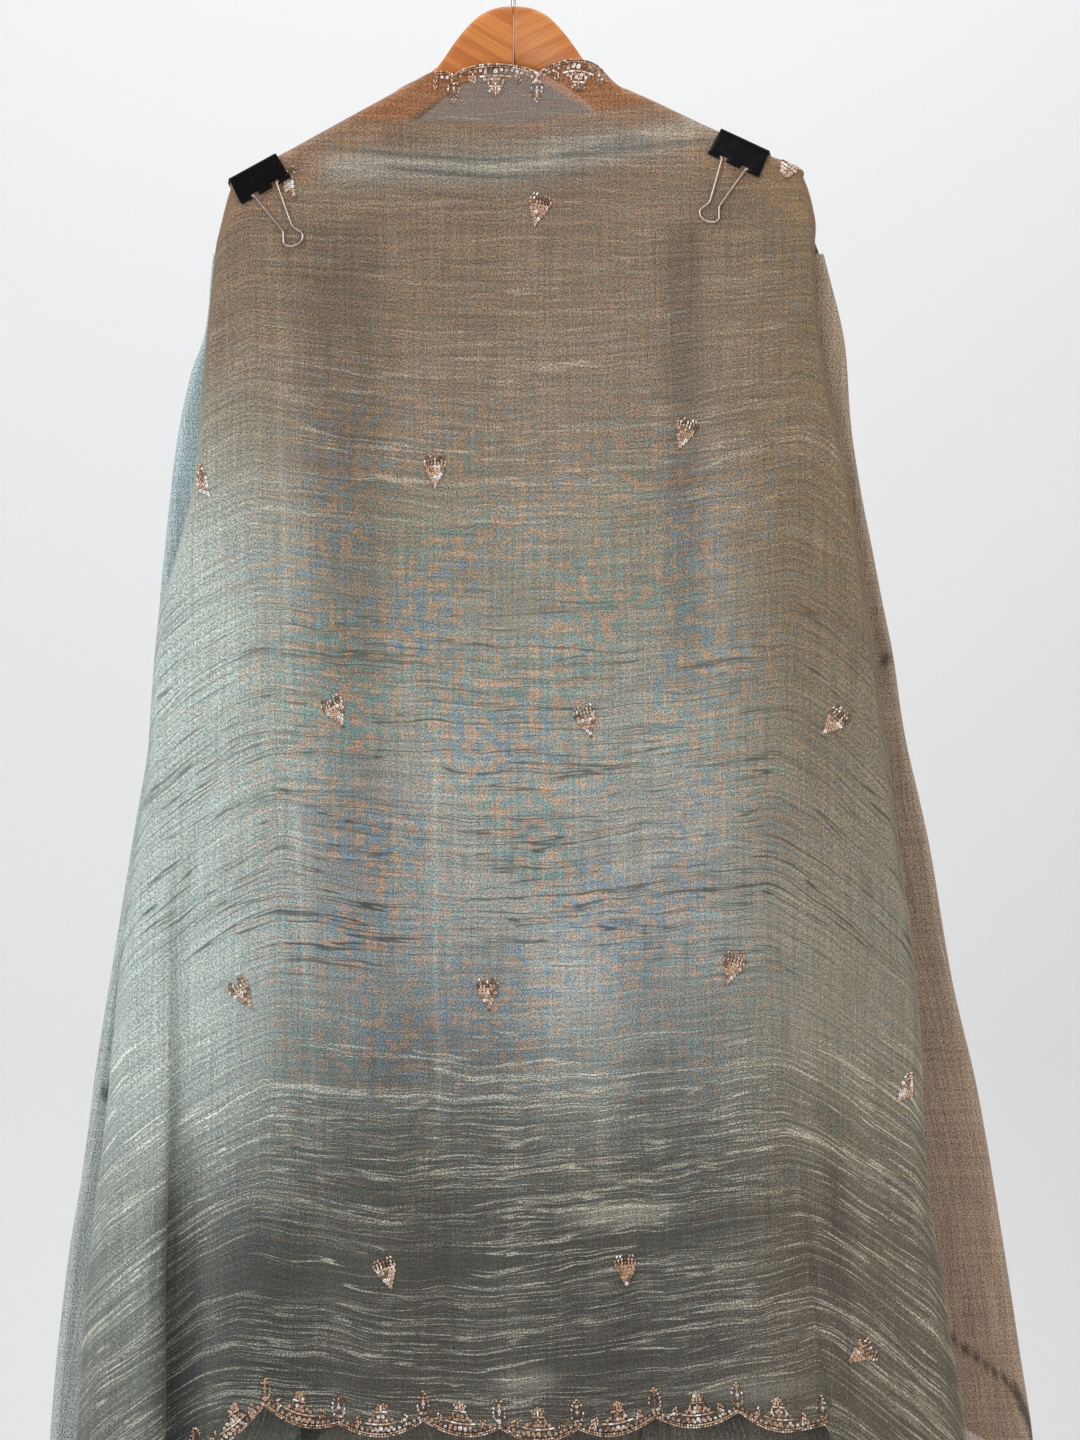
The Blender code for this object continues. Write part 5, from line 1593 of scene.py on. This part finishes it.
LEAF = (
    ("cut", 0, 5.2, 80), ("cut", -1.5, 7, 60), ("cut", 1.4, 7.2, 100), ("ring", 0, 8.8, 0),
    ("cut", -2.3, 9.4, 70), ("cut", 2.2, 9.8, 100), ("cut", -1, 11.4, 75), ("cut", 1.4, 12, 95),
    ("cut", 0.2, 13.6, 85),
)
OVAL = tuple(
    ("cut", 5.0 * math.sin(2 * math.pi * k / 16), 13.9 - 7.6 * math.cos(2 * math.pi * k / 16),
     90.0 - 22.5 * k + 90.0) for k in range(16)
) + (("cut", 0, 10.2, 90), ("ring", 0, 12.6, 0), ("cut", 0, 14.7, 90), ("ring", 0, 16.9, 0),
     ("cut", 0, 19, 90))


def fan(places, height, fall, lean):
    """Upright cut beads side by side, each lower and leaning more the further it is out."""
    return tuple(("cut", u, height - abs(u) * fall, 90 + u * lean) for u in places)


RINGS = tuple(("ring", u, 3.8 - 2.7 * row, 0) for row, count in enumerate((5, 5, 4, 3, 2, 1))
              for u in np.linspace(-1.0, 1.0, count) * (count - 1) * 1.45)
BUTI = (fan(np.linspace(-8.0, 8.0, 7), 9.4, 0.14, 4) + fan(np.linspace(-7.6, 7.6, 7), 6.6, 0.12, 3)
        + fan((-6.2, -3.6, 3.6, 6.2), 11.6, 0.0, 6) + RINGS + (("cut", 0, -12, 90),))


# %% Sewing on a surface
def bead_rows(motif, size=1.0, turn=0.0, foot=0.0):
    """Kind, places across and up, and angles of a motif's beads, one kind after another."""
    c, s = math.cos(turn), math.sin(turn)
    for kind in BEADS:
        rows = [m[1:] for m in motif if m[0] == kind]
        if rows:
            u, v, angle = np.array(rows, float).T
            u, v = u * size, v * size - foot
            yield kind, u * c - v * s, u * s + v * c + foot, np.radians(angle) + turn


def facing(a, b, outward):
    """The unit normal of two directions, on the side that looks back (1) or to the front (-1)."""
    normal = unit(np.cross(a, b))
    return normal * np.where(normal[..., 1:2] * outward < 0.0, -1.0, 1.0)


def surface_frame(shape, a, b, outward):
    """Point, directions across and down the cloth, and normal, at shares a and b."""
    step = 1e-4
    across = (shape(a + step, b) - shape(a - step, b)) / (2 * step)
    down = (shape(a, b + step) - shape(a, b - step)) / (2 * step)
    return shape(a, b), across, down, facing(across, down, outward)


def sew_motif(work, shape, a, b, motif, outward, turn=0.0, size=1.0):
    """One motif with its centre at the shares a and b; its up direction runs against the drop."""
    _at, across, down, _n = surface_frame(shape, np.array([a]), np.array([b]), outward)
    across, down = across[0], down[0]
    right = unit(across)
    up = unit(right * down.dot(right) - down)
    grid = np.array([[across.dot(right), down.dot(right)], [across.dot(up), down.dot(up)]])
    for kind, u, v, angle in bead_rows(motif, size, turn):
        share = np.linalg.inv(grid) @ np.stack([u, v])
        at, _a, _d, normal = surface_frame(shape, a + share[0], b + share[1], outward)
        along = np.cos(angle)[:, None] * right + np.sin(angle)[:, None] * up
        along = along - normal * (along * normal).sum(1, keepdims=True)
        work.add(kind, at, along, normal, size)


# %% Sewing along an edge
ROPE = (("cut", 2.1, 0.7), ("cut", 2.1, 2.3), ("ring", 3.9, 4.7))
ROPE_SIZE, EDGE_SIZE, MOTIF_FOOT = 0.76, 0.86, 9.0
EDGE_SAMPLES, PROBE = 1500, 1e-3
LEAVES = ((-17.5, -0.35), (17.5, 0.35))


class Edge:
    """An edge of a stretch: path(t) gives its shares, and inward the way into the cloth."""

    def __init__(self, shape, path, inward, outward):
        self.shape, self.path, self.inward, self.outward = shape, path, inward, outward
        self.t = np.linspace(0.0, 1.0, EDGE_SAMPLES)
        points = shape(*path(self.t))
        steps = np.linalg.norm(np.diff(points, axis=0), axis=1)
        self.length = np.concatenate([[0.0], np.cumsum(steps)])
        a, b = path(self.t)
        inner = shape(a + inward[0] * PROBE, b + inward[1] * PROBE)
        self.scale = np.linalg.norm(inner - points, axis=1) / PROBE

    def at(self, t, depth):
        """Points at shares of the edge, some millimetres into the cloth."""
        a, b = self.path(t)
        move = depth / np.interp(t, self.t, self.scale)
        return self.shape(a + self.inward[0] * move, b + self.inward[1] * move)

    def sew(self, work, kind, s, depth, angle, size):
        """Beads at s along and depth in, each turned by an angle from the edge's direction."""
        t, step = np.interp(s, self.length, self.t), 6e-4
        point = self.at(t, depth)
        along = unit(self.at(np.minimum(t + step, 1.0), depth)
                     - self.at(np.maximum(t - step, 0.0), depth))
        inward = unit(self.at(t, depth + 0.4) - point)
        lie = np.cos(angle)[:, None] * along + np.sin(angle)[:, None] * inward
        work.add(kind, point, lie, facing(along, inward, self.outward), size)

    def rope(self, work):
        """Two rows of cut beads on the edge and a row of ring sequins just inside."""
        for kind, pitch, depth in ROPE:
            s = np.arange(pitch * 0.5, self.length[-1], pitch)
            self.sew(work, kind, s, np.full(len(s), depth), np.zeros(len(s)), ROPE_SIZE)

    def motif(self, work, s, motif, turn=0.0):
        """A motif that stands on the edge at s, with its up direction into the cloth."""
        for kind, u, v, angle in bead_rows(motif, 1.0, turn, MOTIF_FOOT):
            inside = np.clip(s + u, 0.0, self.length[-1])
            self.sew(work, kind, inside, np.maximum(v, 0.6), angle, EDGE_SIZE)

    def border(self, work, crowns, cusps):
        """Trees at the crowns, ovals at the cusps, and leaves between them."""
        for s in crowns:
            self.motif(work, s, TREE)
            for away, turn in LEAVES:
                self.motif(work, s + away, LEAF, turn)
        for s in cusps:
            self.motif(work, s, OVAL)


# %% Border and motifs of the front
SHORT_ARC, LONG_ARC = 40.0, 90.0
NECK_MIDDLE, NECK_HALF, LEAF_AWAY = 4.0, 62.0, 14.0
front_work = Beadwork("front_beadwork")
hem_edge = Edge(front_shape, lambda t: (t, np.ones_like(t)), (0.0, -1.0), -1.0)
hem_edge.rope(front_work)
cusp_at = np.interp(HEM["place"], hem_edge.t, hem_edge.length)
arcs = [(p, q) for p, q in zip(cusp_at, cusp_at[1:]) if SHORT_ARC < q - p < LONG_ARC]
crowns = [(p + q) / 2.0 for p, q in arcs]
hem_edge.border(front_work, crowns, sorted({p for arc in arcs for p in arc}))
print("hem:", round(hem_edge.length[-1]), "mm, arcs of", [round(q - p) for p, q in arcs])


def top_x(place):
    return front_shape(place, np.full(len(place), -1.0))[:, 0]


places = np.linspace(0.2, 0.8, 1201)
near = places[np.abs(top_x(places) - NECK_MIDDLE) < NECK_HALF]


def neck_shape(place, depth):
    """The front again, with its second share in millimetres down from the neck edge."""
    hung = hem_drop(place) - panel_start(place)
    return front_shape(place, np.where(depth < LAY, depth / LAY - 1.0, (depth - LAY) / hung))


def neck_path(t):
    return near[0] + (near[-1] - near[0]) * t, np.zeros_like(t)


neck_edge = Edge(neck_shape, neck_path, (0.0, 1.0), -1.0)
neck_edge.rope(front_work)
cusps = SCALLOP["cusp"] + SCALLOP["pitch"] * np.array([0.0, 1.0])
half_pitch = SCALLOP["pitch"] / 2.0
neck_x = top_x(neck_path(neck_edge.t)[0])
spots = [*(cusps + half_pitch), *cusps, cusps[0] - LEAF_AWAY]
spots = np.interp(spots, neck_x, neck_edge.length)
neck_edge.border(front_work, spots[:2], spots[2:4])
neck_edge.motif(front_work, spots[4], LEAF)

# %% Scattered motifs of the front
SPRIGS = {
    "x": (-165, 17.5, 200.7, -230.7, -57.7, 125.6, -129.2, 53.3, 230.7, -197.8, -19, 159.9, 286.9,
          -257.7, -90.5, 81, 248.2),
    "drop": (136, 150.7, 123.7, 351.4, 341.2, 317.8, 521.5, 527.4, 526.6, 722.3, 723, 705.5, 791.6,
             946.4, 927.4, 927.4, 979.2),
    "turn": (0.15, 0, -0.2, 0.1, 0, 0, 0.1, 0, -0.1, 0.25, 0, 0, -0.3, 0.2, 0.05, 0, -0.6),
}


def find_shares(shape, x, drop):
    """The shares where the front passes through a place seen from before it."""
    a, b = np.meshgrid(np.linspace(0.004, 0.996, 160), np.linspace(0.0, 1040.0, 200), indexing="ij")
    a, b = a.ravel(), b.ravel()
    points = shape(a, b)
    away = (points[:, 0] - x) ** 2 + (points[:, 2] - drop) ** 2 + 0.02 * (points[:, 1] + 60.0) ** 2
    k = int(np.argmin(away))
    return float(a[k]), float(b[k])


for x, drop, turn in zip(SPRIGS["x"], SPRIGS["drop"], SPRIGS["turn"]):
    a, b = find_shares(neck_shape, x, drop)
    sew_motif(front_work, neck_shape, a, b, BUTI, -1.0, turn, 0.95)
total_beads = front_work.finish(COPPER)

# %% Beads on the falls
BACK, ROOM_FOR_BORDER = 1.0, 38.0
for name, fall in falls.items():
    kind, side = name.split("_")
    shape = SHAPES[kind](side)
    work = Beadwork(name + "_beadwork")
    bottom = Edge(shape, lambda t: (t * FLAT_PART, np.ones_like(t)), (0.0, -1.0), BACK)
    bottom.rope(work)
    arcs = 2 if kind == "inner" else 5
    step = bottom.length[-1] / arcs
    cusps = [step * k for k in range(1, arcs)]
    if step > ROOM_FOR_BORDER:
        bottom.border(work, [step * (k + 0.5) for k in range(arcs)], cusps)
    else:
        for s in cusps:
            bottom.motif(work, s, LEAF)
    if kind == "inner":
        side_edge = Edge(shape, lambda t: (np.zeros_like(t), t), (1.0, 0.0), BACK)
        side_edge.rope(work)
        spots = np.arange(50.0, side_edge.length[-1] - 30.0, SCALLOP["pitch"])
        side_edge.border(work, spots + half_pitch, spots)
    for across, down in ((0.36, 0.24), (0.58, 0.50), (0.36, 0.76)):
        sew_motif(work, shape, across, down, BUTI, BACK)
    total_beads += work.finish(COPPER)
print("beads in all:", total_beads, "triangles")

# %% [markdown]
# ## Sheets and sizes
# Each stretch is declared with the flat size that it was cut to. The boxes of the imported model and
# of the dressed one are written side by side, so that they can be compared.

# %% Sheets
for name, fall in falls.items():
    side = name.split("_")[1]
